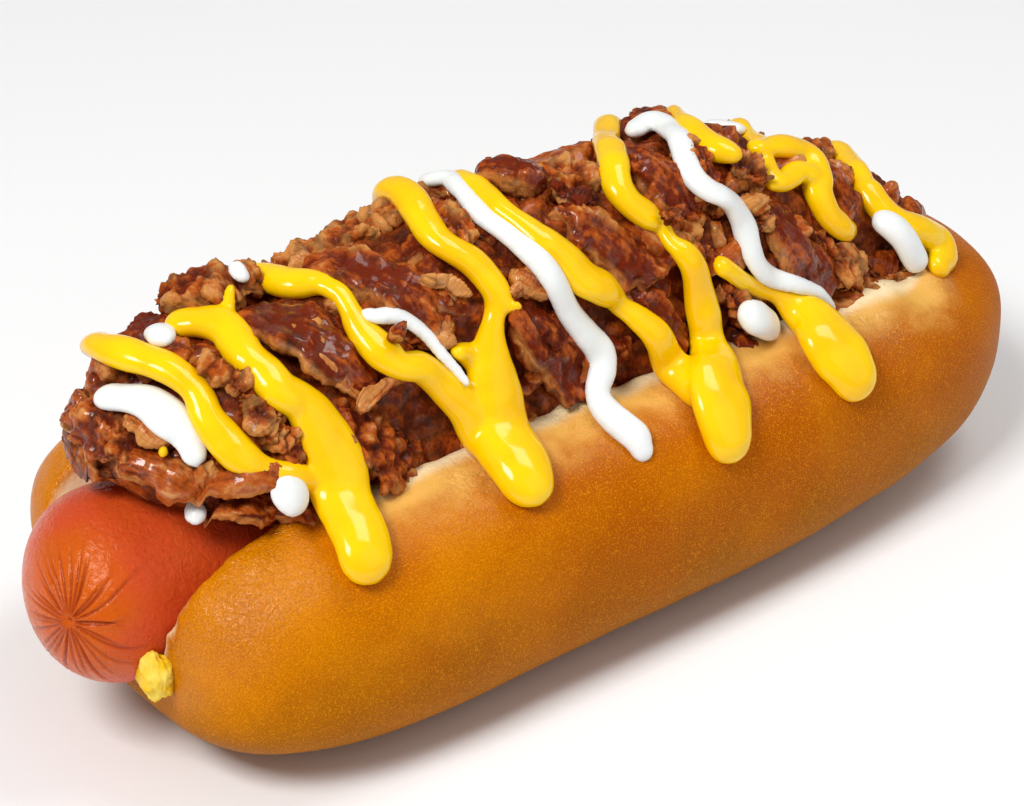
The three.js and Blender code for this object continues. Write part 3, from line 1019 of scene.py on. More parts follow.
    def build_torn_crumb(self) -> bpy.types.Object:
        """Builds the torn bit of crumb beside the frankfurter's tip."""
        rows, around = 60, 80
        turn = np.linspace(0, math.pi, rows + 2)
        angle = np.linspace(0, 2 * math.pi, around, endpoint=False)
        middle = -np.cos(turn)[1:-1, None] * np.ones(around)
        ring = np.stack(
            [
                np.sin(turn)[1:-1, None] * np.cos(angle),
                np.sin(turn)[1:-1, None] * np.sin(angle),
                middle,
            ],
            axis=-1,
        ).reshape(-1, 3)
        ball = np.concatenate([[[0, 0, -1.0]], ring, [[0, 0, 1.0]]])
        reach = np.array(self.torn_reach) * (1 + 0.22 * layered_noise(ball, 0.8, 3, 41)[:, None])
        points = np.array(self.torn_centre) + ball * reach
        points[:, 2] = np.maximum(points[:, 2], 2.0)
        made = build_object("torn_crumb", Body(points, ball_faces(rows, around), {}))
        place_piece(made, CrumbFinish().material(), "bun_crust")
        return made

    def outside_depth(self, points: Array) -> Array:
        """How far each point stands out of the split's own wall, in millimetres, roughly."""
        x, y, z = points.T
        rise = np.clip(z - FRANK_AXIS_HEIGHT, 0, None)
        lip = self.lip_half_width(x, rise)
        level = np.clip(FRANK_AXIS_HEIGHT - z, 0, self.channel_radius)
        wall = np.where(z > FRANK_AXIS_HEIGHT, lip, np.sqrt(self.channel_radius**2 - level**2))
        closing = np.clip((x - self.far_x + self.closing) / self.closing, 0, 1)
        wall = wall * np.sqrt(1 - closing**2)
        beside = np.abs(y) - wall
        below = FRANK_AXIS_HEIGHT - self.channel_radius - z
        beyond = x - self.far_x
        half_width, under, top = ROLL.section(np.clip(x, -ROLL.near.reach, ROLL.far.reach))
        at_skin = np.abs(y) / np.maximum(1, half_width)
        level_share = np.abs(2 * z - top - under) / np.maximum(1, top - under)
        skin = (at_skin**3 + level_share**3) ** (1 / 3)
        near_skin = (skin - 1) * 12 + 1.2
        return np.maximum.reduce([beside - 0.8, below - 0.8, beyond, np.minimum(near_skin, beside + 2.2)])

    def rim_distance(self, points: Array) -> Array:
        """How far each point is from the split's rim across the roll, in millimetres."""
        x, y, z = points.T
        past = np.maximum(0, x - self.far_x + self.closing)
        mouth = self.mouth_half_width * np.sqrt(np.clip(1 - (past / self.closing) ** 2, 0, 1))
        rim_height = ROLL.section(np.clip(x, -ROLL.near.reach, ROLL.far.reach))[2] - 1.5
        beyond = np.maximum(0, x - self.far_x)
        return np.sqrt((np.abs(y) - mouth) ** 2 + np.minimum(0, z - rim_height) ** 2 + beyond**2)


@dataclass
class Frankfurter:
    """The sausage, with the puckers round its drawn-in tip."""

    radius: float = 13.5
    cap: float = 12.0
    near_x: float = -86.0
    far_x: float = 63.0
    bend_start_x: float = -72.0
    bend: float = 2.2
    pucker_turn: float = 24.0
    pucker_rise: float = 13.0
    wrinkle_count: int = 30
    rows: int = 216
    around: int = 280

    def build(self) -> bpy.types.Object:
        """Builds the sausage row by row, then draws in its puckers."""
        near_cap_x = self.near_x + self.cap
        far_cap_x = self.far_x - self.cap
        cap_rows = self.rows // 3
        body_rows = self.rows - 2 * cap_rows
        cap_share = np.linspace(0, 1, cap_rows + 1)[1:]
        turn = math.pi / 2 * cap_share
        x = np.concatenate(
            [
                near_cap_x - self.cap * np.cos(turn),
                np.linspace(near_cap_x, far_cap_x, body_rows + 2)[1:-1],
                far_cap_x + self.cap * np.cos(turn[::-1]),
            ]
        )
        fullness = np.concatenate([np.sin(turn), np.ones(body_rows), np.sin(turn[::-1])])
        bent = np.clip((self.bend_start_x - x) / (self.bend_start_x - self.near_x), 0, 1)
        centre_y = -self.bend * bent**2
        angle = np.linspace(0, 2 * math.pi, self.around, endpoint=False)
        from_tip = np.arccos(np.clip(1 - (x - self.near_x) / self.cap, -1, 1)) * self.radius
        relief = np.zeros((len(x), self.around))
        # The folds' depth, and the painted shade that darkens them.
        crease_shade = np.zeros(relief.shape)
        for depth, shade_mark in self.wrinkles(from_tip, angle):
            relief -= depth
            crease_shade = np.maximum(crease_shade, shade_mark)
        reach = self.radius * fullness[:, None]
        away = np.stack(
            [
                np.broadcast_to((x - near_cap_x)[:, None] / self.cap, relief.shape),
                reach * np.cos(angle) / self.radius,
                reach * np.sin(angle) / self.radius,
            ],
            axis=-1,
        )
        away[np.arange(len(x)) >= cap_rows, :, 0] = 0
        share = 1 - eased_step(0, 1.15, from_tip / (self.radius * math.pi / 2))
        away = self.turned(away, share[:, None])
        scale = np.array([self.cap, self.radius, self.radius])
        centre = np.stack([np.maximum(x, near_cap_x), centre_y, x * 0 + FRANK_AXIS_HEIGHT], axis=-1)
        points = (centre[:, None] + away * (scale + relief[..., None])).reshape(-1, 3)
        lump = layered_noise(points, 16.0, 2, 21) * 0.22
        away = points * np.array([0, 1, 1]) - np.array([0, 0, FRANK_AXIS_HEIGHT])
        points = points + away / np.maximum(1, np.linalg.norm(away, axis=1, keepdims=True)) * lump[:, None]
        pole = self.turned(np.array([[[-1.0, 0.0, 0.0]]]), np.ones((1, 1)))[0, 0]
        first = (centre[:1] + pole * (scale - 0.9)).reshape(1, 3)
        last = np.array([[self.far_x, 0, FRANK_AXIS_HEIGHT]])
        tip = np.broadcast_to((1 - eased_step(2, 22, from_tip))[:, None], relief.shape).ravel()
        values = {
            "tip": np.concatenate([[1.0], tip, [0.0]]),
            "crease_shade": np.concatenate([[1.0], crease_shade.ravel(), [0.0]]),
        }
        body = Body(np.concatenate([first, points, last]), ball_faces(len(x), self.around), values)
        made = build_object("frankfurter_skin", body)
        place_piece(made, SkinFinish().material(), "frankfurter_skin", "frankfurter")
        return made

    def turned(self, away: Array, share: Array) -> Array:
        """Turns directions at the near end by a share of the way that its tip points.

        Args:
            away: Directions from the sausage's middle line.
            share: How much of the turn each takes, from 0 to 1.

        Returns:
            The turned directions.
        """
        side = np.radians(self.pucker_turn) * share
        rise = np.radians(self.pucker_rise) * share
        x, y, z = away[..., 0], away[..., 1], away[..., 2]
        x, y = x * np.cos(side) - y * np.sin(side), x * np.sin(side) + y * np.cos(side)
        x, z = x * np.cos(rise) + z * np.sin(rise), z * np.cos(rise) - x * np.sin(rise)
        return np.stack([x, y, z], axis=-1)

    def wrinkles(self, from_tip: Array, angle: Array) -> list[tuple[Array, Array]]:
        """The creases that run out from the drawn-in tip.

        Args:
            from_tip: How far each row is from the tip over the skin.
            angle: The angle of each column round the sausage.

        Returns:
            The depth of each fold and the painted shade along it, over the rows and columns.
        """
        draw = np.random.default_rng(4)
        made = []
        for number in range(self.wrinkle_count):
            place = 2 * math.pi * (number + 0.7 * draw.random()) / self.wrinkle_count
            favoured = 0.5 + 0.5 * math.cos(place - math.pi * 1.1)
            length = 6.0 + 18.0 * favoured * (0.25 + 0.75 * draw.random()) + 3.0 * draw.random()
            depth = 0.16 + 0.26 * draw.random()
            wander = (draw.random() - 0.5) * 0.35
            bend = place + wander * (from_tip / 12) ** 1.5
            apart = np.angle(np.exp(1j * (angle[None, :] - bend[:, None])))
            across = apart * np.minimum(self.radius, from_tip + 0.2)[:, None]
            width = 0.2 + 0.01 * from_tip[:, None]
            rising = eased_step(0.3, 1.6, from_tip)
            fade = (rising * (1 - eased_step(length * 0.45, length, from_tip)))[:, None]
            profile = np.exp(-((across / width) ** 2))
            puff = np.exp(-((across / 0.9) ** 2)) * 0.15
            # The second value is painted shade, darkest along the deeper folds.
            made.append(((depth * profile - puff) * fade, (0.35 + depth) * profile * fade))
        return made


class Texture(Enum):
    """What a piece of meat is like."""

    SHEET = "sheet"
    CRUMBLY = "crumbly"
    STRIP = "strip"
    GLOSSY = "glossy"


# How square the section of each kind is, and how much its skin shines with fat.
SQUARENESS = {Texture.SHEET: 2.6, Texture.CRUMBLY: 2.0, Texture.STRIP: 2.4, Texture.GLOSSY: 2.1}
MOISTURE = {Texture.SHEET: 0.6, Texture.CRUMBLY: 0.25, Texture.STRIP: 0.7, Texture.GLOSSY: 1.0}
# How often the fibres change along, across and through a piece. Crumbly pieces have short ones.
LONG_FIBRES = np.array([0.12, 1.1, 1.1])
SHORT_FIBRES = np.array([0.7, 0.9, 0.9])


@dataclass(frozen=True)
class Cut:
    """One piece of meat on the heap, from one place to another.

    Places are an x and an angle in degrees round the sauce axis. Tone runs from about 0, dark red, to
    about 1, tan. Facing is how much the piece is turned towards the near end.
    """

    start: Station
    end: Station
    width: float
    texture: Texture
    tone: float
    thickness: float = 4.4
    lift: float = 0.0
    facing: float = 0.0


FRONT_CUTS = (
    Cut((-53, -2), (-40, -26), 9.5, Texture.GLOSSY, 0.12, 4.6, 0.3),
    Cut((-59, 13), (-46, 4), 8.5, Texture.CRUMBLY, 0.5, 6.0, 2.4),
    Cut((-68, 12), (-61, -6), 5.0, Texture.STRIP, 0.4, 4.0, 0.2),
    Cut((-61, -8), (-59, -19), 4.6, Texture.CRUMBLY, 0.45, 4.4, 0.4),
    Cut((-59, -18), (-57, -28), 4.8, Texture.CRUMBLY, 0.6, 4.6, 0.5),
    Cut((-57, -26), (-53, -36), 4.6, Texture.CRUMBLY, 0.4, 4.4, 0.5),
    Cut((-74.2, 15), (-74.6, 4), 3.6, Texture.GLOSSY, 0.35, 3.8, 1.0, 0.7),
    Cut((-70.9, -5), (-69.2, -17), 4.8, Texture.GLOSSY, 0.8, 3.2, 1.2, 0.6),
    Cut((-74, -10), (-66, -31), 6.4, Texture.GLOSSY, 0.5, 3.8, 2.0, 0.7),
    Cut((-74.6, 8), (-73.8, -9), 6.0, Texture.SHEET, 0.3, 4.0, 1.6, 1.2),
    Cut((-74.4, 0), (-72.2, -14), 5.4, Texture.CRUMBLY, 0.3, 4.6, 0.6, 1.0),
    Cut((-66, -32), (-58, -42), 4.0, Texture.SHEET, 0.3, 3.6, 0.8, 0.3),
    Cut((-26, 10), (-17, 1), 6.5, Texture.CRUMBLY, 0.5, 5.0, 0.2),
    Cut((-52, -9), (-42, -28), 2.2, Texture.GLOSSY, 0.7, 2.4, 1.4),
    Cut((-28.8, -13.6), (-25.4, -15.6), 2.2, Texture.GLOSSY, 1.2, 2.2, 2.0),
    Cut((-25.2, -15), (-22.7, -19.4), 2.0, Texture.GLOSSY, 1.2, 2.2, 2.0),
    Cut((-1.6, -5), (1.6, -12), 4.4, Texture.CRUMBLY, -0.6, 3.0, 1.4),
    Cut((-15, -27), (-12, -33), 3.0, Texture.CRUMBLY, -0.6, 2.6, 1.6),
    Cut((-62, -38), (-52, -46), 4.0, Texture.SHEET, 0.2, 3.6, 0.6),
    Cut((-75.2, 12), (-75.2, 3), 2.6, Texture.CRUMBLY, 0.95, 2.6, 1.6, 1.0),
    Cut((-67, -24), (-63.5, -31), 3.4, Texture.CRUMBLY, 0.6, 3.6, 1.4, 0.2),
    Cut((-71, 11), (-71, 2.5), 2.8, Texture.GLOSSY, 0.35, 3.0, 1.0),
    Cut((-15.3, -18), (-11.3, -23), 3.2, Texture.STRIP, 0.85, 2.8, 1.6),
    Cut((-57, -26), (-53.6, -31), 3.6, Texture.CRUMBLY, 0.9, 3.6, 1.8),
    Cut((-49, -25), (-36, -45), 9.5, Texture.CRUMBLY, 0.38, 4.8, 0.3),
    Cut((-44, -30), (-36, -26), 2.0, Texture.STRIP, 0.9, 1.8, 2.6),
    Cut((-39, 5), (-27, -20), 8.5, Texture.SHEET, 0.25, 4.6, 0.2),
    Cut((-42, 14), (-27, 4), 6.5, Texture.CRUMBLY, 0.7, 5.0, 0.4),
    Cut((-20, 5), (-18, -10), 5.0, Texture.CRUMBLY, 0.5, 4.4, 0.3),
    Cut((-17, -21), (-9, -18), 3.0, Texture.STRIP, 0.8, 3.0, 1.4),
    Cut((-17, -20), (-7, -46), 8.0, Texture.SHEET, 0.12, 4.6, 0.1),
    Cut((-6, -34), (-4, -48), 3.4, Texture.STRIP, 0.3, 3.6, 0.2),
    Cut((-9, 6), (-2, -4), 7.5, Texture.GLOSSY, 0.1, 5.8, 1.6),
    Cut((-2, 3), (9, -5), 6.5, Texture.CRUMBLY, 0.75, 5.0, 0.5),
    Cut((-3, -8), (9, -26), 8.5, Texture.SHEET, 0.2, 4.6, 0.2),
    Cut((13, 2), (17, -20), 7.5, Texture.SHEET, 0.3, 5.0, 0.5),
    Cut((22, -3), (22, -19), 5.4, Texture.CRUMBLY, 0.4, 5.0, 0.4),
    Cut((3, -26), (13, -45), 6.5, Texture.SHEET, 0.3, 4.6, 0.2),
    Cut((14, -18), (18, -29), 4.0, Texture.CRUMBLY, 0.6, 4.4, 0.5),
    Cut((28, -9), (32, -17), 5.0, Texture.CRUMBLY, 0.6, 4.6, 0.6),
    Cut((28, -18), (30, -25), 3.6, Texture.CRUMBLY, 0.85, 4.0, 0.8),
    Cut((31, -21), (41, -43), 9.0, Texture.GLOSSY, 0.1, 5.0, 0.3),
    Cut((40, -28), (50, -48), 6.5, Texture.CRUMBLY, 0.7, 4.6, 0.4),
    Cut((45, -5), (50, -26), 6.0, Texture.STRIP, 0.35, 4.2, 0.3),
    Cut((19, -32), (27, -46), 5.6, Texture.CRUMBLY, 0.5, 4.6, 0.3),
    Cut((42, -42), (52, -50), 3.6, Texture.CRUMBLY, 0.8, 3.6, 0.4),
    Cut((53, -46), (61, -48), 3.4, Texture.CRUMBLY, 0.7, 3.2, 0.3),
    Cut((58, -22), (64, -34), 4.4, Texture.STRIP, 0.5, 3.6, 0.4),
)


TOP_CUTS = (
    Cut((-67.9, -28.6), (-55.0, -42.4), 4.0, Texture.STRIP, 0.5, 3.2, 4.6),
    Cut((10.2, -19), (11.8, -22), 2.6, Texture.CRUMBLY, 0.5, 2.8, 5.4),
    Cut((-37.6, -21.5), (-36, -23.5), 2.4, Texture.GLOSSY, 0.2, 2.6, 5.6),
)


@dataclass
class MeatHeap:
    """The chopped beef: a dark lumpy core, and the pieces that lie on it."""

    back_count: int = 22
    filler_thickness: float = 3.2
    back_length: float = 15.0
    filler_count: int = 130
    sinking: float = 1.5
    deepest_drop: float = 3.5

    def core_body(self) -> Body:
        """The mound under the pieces."""
        rows, around = 180, 130
        share = np.linspace(0, 1, rows + 2)[1:-1]
        x = HEAP.near_x + (HEAP.far_x - HEAP.near_x) * (1 - np.cos(math.pi * share)) / 2
        half_width, base, crest, depth, drawn_back = (part[:, None] for part in HEAP.section(x))
        angle = np.linspace(0, 2 * math.pi, around, endpoint=False)
        y = drawn_back + half_width * squared(np.cos(angle), HEAP.power)
        z = base + np.where(np.sin(angle) > 0, crest - base, depth) * squared(np.sin(angle), HEAP.power)
        points = ring_points(x, y, z)
        away = outward(points)
        inside, own = cell_noise(points, np.array([4.6, 3.4, 3.4]), 31)
        lump = 1.5 * own + 0.4 * eased_step(0, 0.8, inside) + 0.9 * layered_noise(points, 2.6, 3, 32) - 3.0
        points = points + away * lump[:, None]
        near_base = HEAP.section(np.array([HEAP.near_x]))[1][0]
        ends = np.array([[HEAP.near_x, 0, near_base], [HEAP.far_x, 0, HEAP.base]])
        points = np.concatenate([ends[:1], points, ends[1:]])
        own = np.concatenate([[0.5], own, [0.5]])
        values = {
            "tone": 0.02 + 0.4 * own + 0.3 * (1 - eased_step(-76, -64, points[:, 0])),
            "edge": np.zeros(len(points)),
            # Painted shade in the creases between the lumps.
            "crease_shade": np.concatenate([[0], 0.7 * (1 - eased_step(0.02, 0.3, inside)), [0]]),
            "moist": np.full(len(points), 0.4),
            "fibre": points / 1.6,
        }
        return Body(points, ball_faces(rows, around), values)

    def cut_body(self, cut: Cut, seed: int, detail: float = 1.0) -> Body:
        """One piece of meat, bent over the heap.

        Args:
            cut: Where it lies and what it is like.
            seed: Its own repeatable draw.
            detail: How finely it is made, against the usual 1.

        Returns:
            The piece's mesh and values.
        """
        rows, around = int(60 * detail), int(49 * detail)
        share = (1 - np.cos(np.linspace(0, math.pi, rows + 2)[1:-1])) / 2
        path = laid_points(
            np.clip(cut.start[0] + (cut.end[0] - cut.start[0]) * share, HEAP.near_x + 0.8, HEAP.far_x - 3),
            cut.start[1] + (cut.end[1] - cut.start[1]) * share,
        )
        up = outward(path) - np.array([cut.facing, 0, 0])
        up /= np.linalg.norm(up, axis=1, keepdims=True)
        path = self.held_up(path) + up * (cut.lift - self.sinking)
        along = path[-1] - path[0]
        length = np.linalg.norm(along)
        axis = along / length
        side = np.cross(up, axis)
        side /= np.linalg.norm(side, axis=1, keepdims=True)
        over = np.cross(axis, side)
        power = SQUARENESS[cut.texture]
        full = rounded(np.abs(2 * share - 1), power)
        edge_line = np.stack([share * length, share * 0, share * 0 + seed * 7.3], axis=-1)
        left = np.maximum(0.3, 1 + 0.55 * layered_noise(edge_line, 6.0, 4, seed))
        right = np.maximum(0.3, 1 + 0.55 * layered_noise(edge_line + 50, 6.0, 4, seed))
        angle = np.linspace(0, 2 * math.pi, around, endpoint=False)
        across = squared(np.cos(angle), power)
        height = squared(np.sin(angle), power)
        ragged = np.where(across > 0, left[:, None], right[:, None])
        reach = ragged * across * (cut.width / 2 * full)[:, None]
        rise = height * (cut.thickness / 2 * full**0.7)[:, None]
        curl = 0.9 * (reach / (cut.width / 2)) ** 2 * np.sin(3 * share + seed)[:, None]
        points = path[:, None] + side[:, None] * reach[..., None] + over[:, None] * (rise + curl)[..., None]
        normal = side[:, None] * (across * 0.5)[None, :, None] + over[:, None] * height[None, :, None]
        normal = normal + axis * ((2 * share - 1) ** 5)[:, None, None]
        normal /= np.maximum(1e-6, np.linalg.norm(normal, axis=-1, keepdims=True))
        points = points.reshape(-1, 3)
        normal = normal.reshape(-1, 3)
        local = np.stack(
            [
                np.broadcast_to((share * length)[:, None], reach.shape),
                reach,
                rise,
            ],
            axis=-1,
        ).reshape(-1, 3)
        local = local + seed * np.array([13.7, 5.1, 9.3])
        relief, crease_shade, own = self.relief(local, cut.texture, seed)
        points = points + normal * relief[:, None]
        rim = np.broadcast_to(eased_step(0.86, 1.0, np.abs(across)), reach.shape).ravel()
        patch = smooth_noise(local, 4.0, seed + 3)
        stretch = SHORT_FIBRES if cut.texture is Texture.CRUMBLY else LONG_FIBRES
        # The tone is the cut's own with a random wander, plus a share that follows the relief, lighter on
        # raised skin and darker in hollows, as painted light and shade.
        tone = cut.tone + 0.14 * smooth_noise(local, 6.0, seed + 1) + own
        values = {
            "tone": tone + 0.3 * np.clip(relief, -1, 1),
            "edge": np.clip(rim * (0.4 + patch), 0, 0.75),
            "crease_shade": crease_shade,
            "moist": np.full(len(local), MOISTURE[cut.texture]),
            "fibre": local * stretch,
        }
        first = path[0] - axis * 0.1
        last = path[-1] + axis * 0.1
        poles = {name: np.concatenate([value[:1], value, value[-1:]]) for name, value in values.items()}
        return Body(np.concatenate([[first], points, [last]]), ball_faces(rows, around), poles)

    def held_up(self, path: Array) -> Array:
        """Keeps a piece's path from dropping off the end of the heap."""
        axis = np.array([0, 0, SAUCE_AXIS_HEIGHT])
        reach = np.linalg.norm((path - axis)[:, 1:], axis=1)
        held = np.maximum(reach, np.median(reach) - self.deepest_drop)
        across = (path - axis) * np.array([0, 1, 1])
        return path * np.array([1, 0, 0]) + axis + across * (held / reach)[:, None]

    def relief(self, local: Array, texture: Texture, seed: int) -> tuple[Array, Array, Array]:
        """How far a piece's skin stands out, the painted shade in its creases, and how its tone wanders.

        Args:
            local: Places along, across and through the piece.
            texture: What the piece is like.
            seed: Its own repeatable draw.

        Returns:
            The relief in millimetres, the creases' painted shade from 0 to 1, and what to add to the tone,
            partly painted light and shade.
        """
        wander = [smooth_noise(local, 4.0, seed + axis) for axis in (20, 21, 22)]
        bent = local + 0.9 * np.stack(wander, axis=1)
        coarse = pillow_noise(bent, np.array([9.0, 1.9, 1.9]), seed + 11)
        fine = pillow_noise(bent, np.array([5.0, 0.7, 0.7]), seed + 12)
        folds = smooth_noise(bent, np.array([8.0, 3.6, 3.6]), seed + 13)
        grains = pillow_noise(local, 0.8, seed + 14)
        if texture is Texture.CRUMBLY:
            inside, own = cell_noise(bent, 3.0, seed + 15)
            lumps = layered_noise(bent, 2.2, 3, seed + 16)
            relief = 1.1 * (own - 0.5) + 0.5 * eased_step(0, 0.7, inside) + 0.9 * lumps + 0.5 * folds
            relief += 0.3 * fine + 0.2 * grains - 0.4
            crease_shade = 1 - eased_step(0.0, 0.2, inside)
            return relief, crease_shade * 0.6, 0.3 * (own - 0.5) + 0.5 * lumps
        if texture is Texture.SHEET:
            lumps = layered_noise(bent, 2.6, 3, seed + 18)
            relief = 1.5 * folds + 0.45 * coarse + 0.3 * fine + 0.5 * lumps + 0.15 * grains
            crease_shade = 1 - eased_step(0.0, 0.16, coarse)
            return relief - 0.4, crease_shade * 0.5, 0.5 * (fine - 0.45) + 0.4 * folds + 0.3 * lumps
        if texture is Texture.STRIP:
            relief = 0.8 * folds + 0.3 * coarse + 0.15 * fine + 0.1 * grains
            return relief - 0.2, 0.5 * (1 - eased_step(0.0, 0.15, coarse)), 0.2 * (coarse - 0.5)
        lumps = smooth_noise(local, 3.0, seed + 17)
        relief = 0.9 * folds + 0.5 * lumps + 0.35 * coarse + 0.15 * fine
        return relief - 0.2, 0.5 * (1 - eased_step(0.0, 0.15, coarse)), 0.15 * folds + 0.1 * (fine - 0.5)

    def fillers(self) -> list[Cut]:
        """Small pieces that fill the gaps between the large ones."""
        draw = np.random.default_rng(5)
        cuts = []
        textures = list(Texture)
        for number in range(self.filler_count):
            x = -67 + 136 * (number + draw.random()) / self.filler_count
            degrees = 62 * draw.random() * np.sign(draw.random() - 0.25) * -1
            front = -48.0 + 30.0 * float(eased_step(46.0, 70.0, -x))
            degrees = max(front, min(58.0, degrees))
            length = 3.5 + 5.5 * draw.random()
            turn = 2 * math.pi * draw.random()
            reach = (math.cos(turn) * length / 2, math.sin(turn) * length / 2 * 1.5)
            texture = textures[int(draw.random() * len(textures))]
            start = (x - reach[0], degrees - reach[1])
            end = (x + reach[0], degrees + reach[1])
            tone = 0.05 + 0.85 * draw.random() ** 1.5
            width = length * (0.5 + 0.3 * draw.random())
            lift = -0.4 - draw.random()
            cuts.append(Cut(start, end, width, texture, tone, self.filler_thickness, lift))
        return cuts

    def back_cuts(self) -> list[Cut]:
        """Pieces for the far side, spread along and down the heap."""
        draw = np.random.default_rng(11)
        cuts = []
        textures = [Texture.SHEET, Texture.CRUMBLY, Texture.STRIP, Texture.CRUMBLY, Texture.GLOSSY]
        spacing = (HEAP.far_x - HEAP.near_x - 20) / self.back_count
        for number in range(self.back_count):
            x = HEAP.near_x + 9 + spacing * (number + 0.5)
            degrees = (14, 36, 25)[number % 3] + 4 * (draw.random() - 0.5)
            length = self.back_length * (0.7 + 0.5 * draw.random())
            turn = math.pi * (draw.random() - 0.5)
            reach = np.array([math.cos(turn) * length / 2, math.sin(turn) * length * 0.7])
            start = (x - reach[0], degrees - reach[1])
            end = (x + reach[0], degrees + reach[1])
            texture = textures[number % len(textures)]
            tone = 0.15 + 0.6 * draw.random()
            cuts.append(Cut(start, end, length * 0.5, texture, tone, lift=0.2))
        return cuts

    def build(self) -> list[bpy.types.Object]:
        """Builds the core, the scraps that fill the gaps and the larger pieces by kind."""
        finish = MeatFinish().material()
        core = build_object("meat_core", self.core_body())
        place_piece(core, finish, "fried_meat", "meat_heap")
        made = [core]
        kinds = {texture: [] for texture in Texture}
        for number, cut in enumerate(FRONT_CUTS):
            kinds[cut.texture].append(self.cut_body(cut, number + 1))
        for number, cut in enumerate(self.back_cuts()):
            kinds[cut.texture].append(self.cut_body(cut, number + 60, 0.75))
        fillers = [self.cut_body(cut, number + 100, 0.41) for number, cut in enumerate(self.fillers())]
        scraps = build_object("meat_scraps", Body.joined(fillers))
        place_piece(scraps, finish, "fried_meat", "meat_heap")
        made.append(scraps)
        for texture, bodies in kinds.items():
            pieces = build_object(f"meat_{texture.value}", Body.joined(bodies))
            place_piece(pieces, finish, "fried_meat", "meat_heap")
            made.append(pieces)
        return made

    def build_top(self) -> bpy.types.Object:
        """Builds the few pieces that lie on the sauce."""
        bodies = [self.cut_body(cut, number + 300) for number, cut in enumerate(TOP_CUTS)]
        made = build_object("meat_on_sauce", Body.joined(bodies))
        place_piece(made, bpy.data.materials["fried beef"], "fried_meat")
        return made


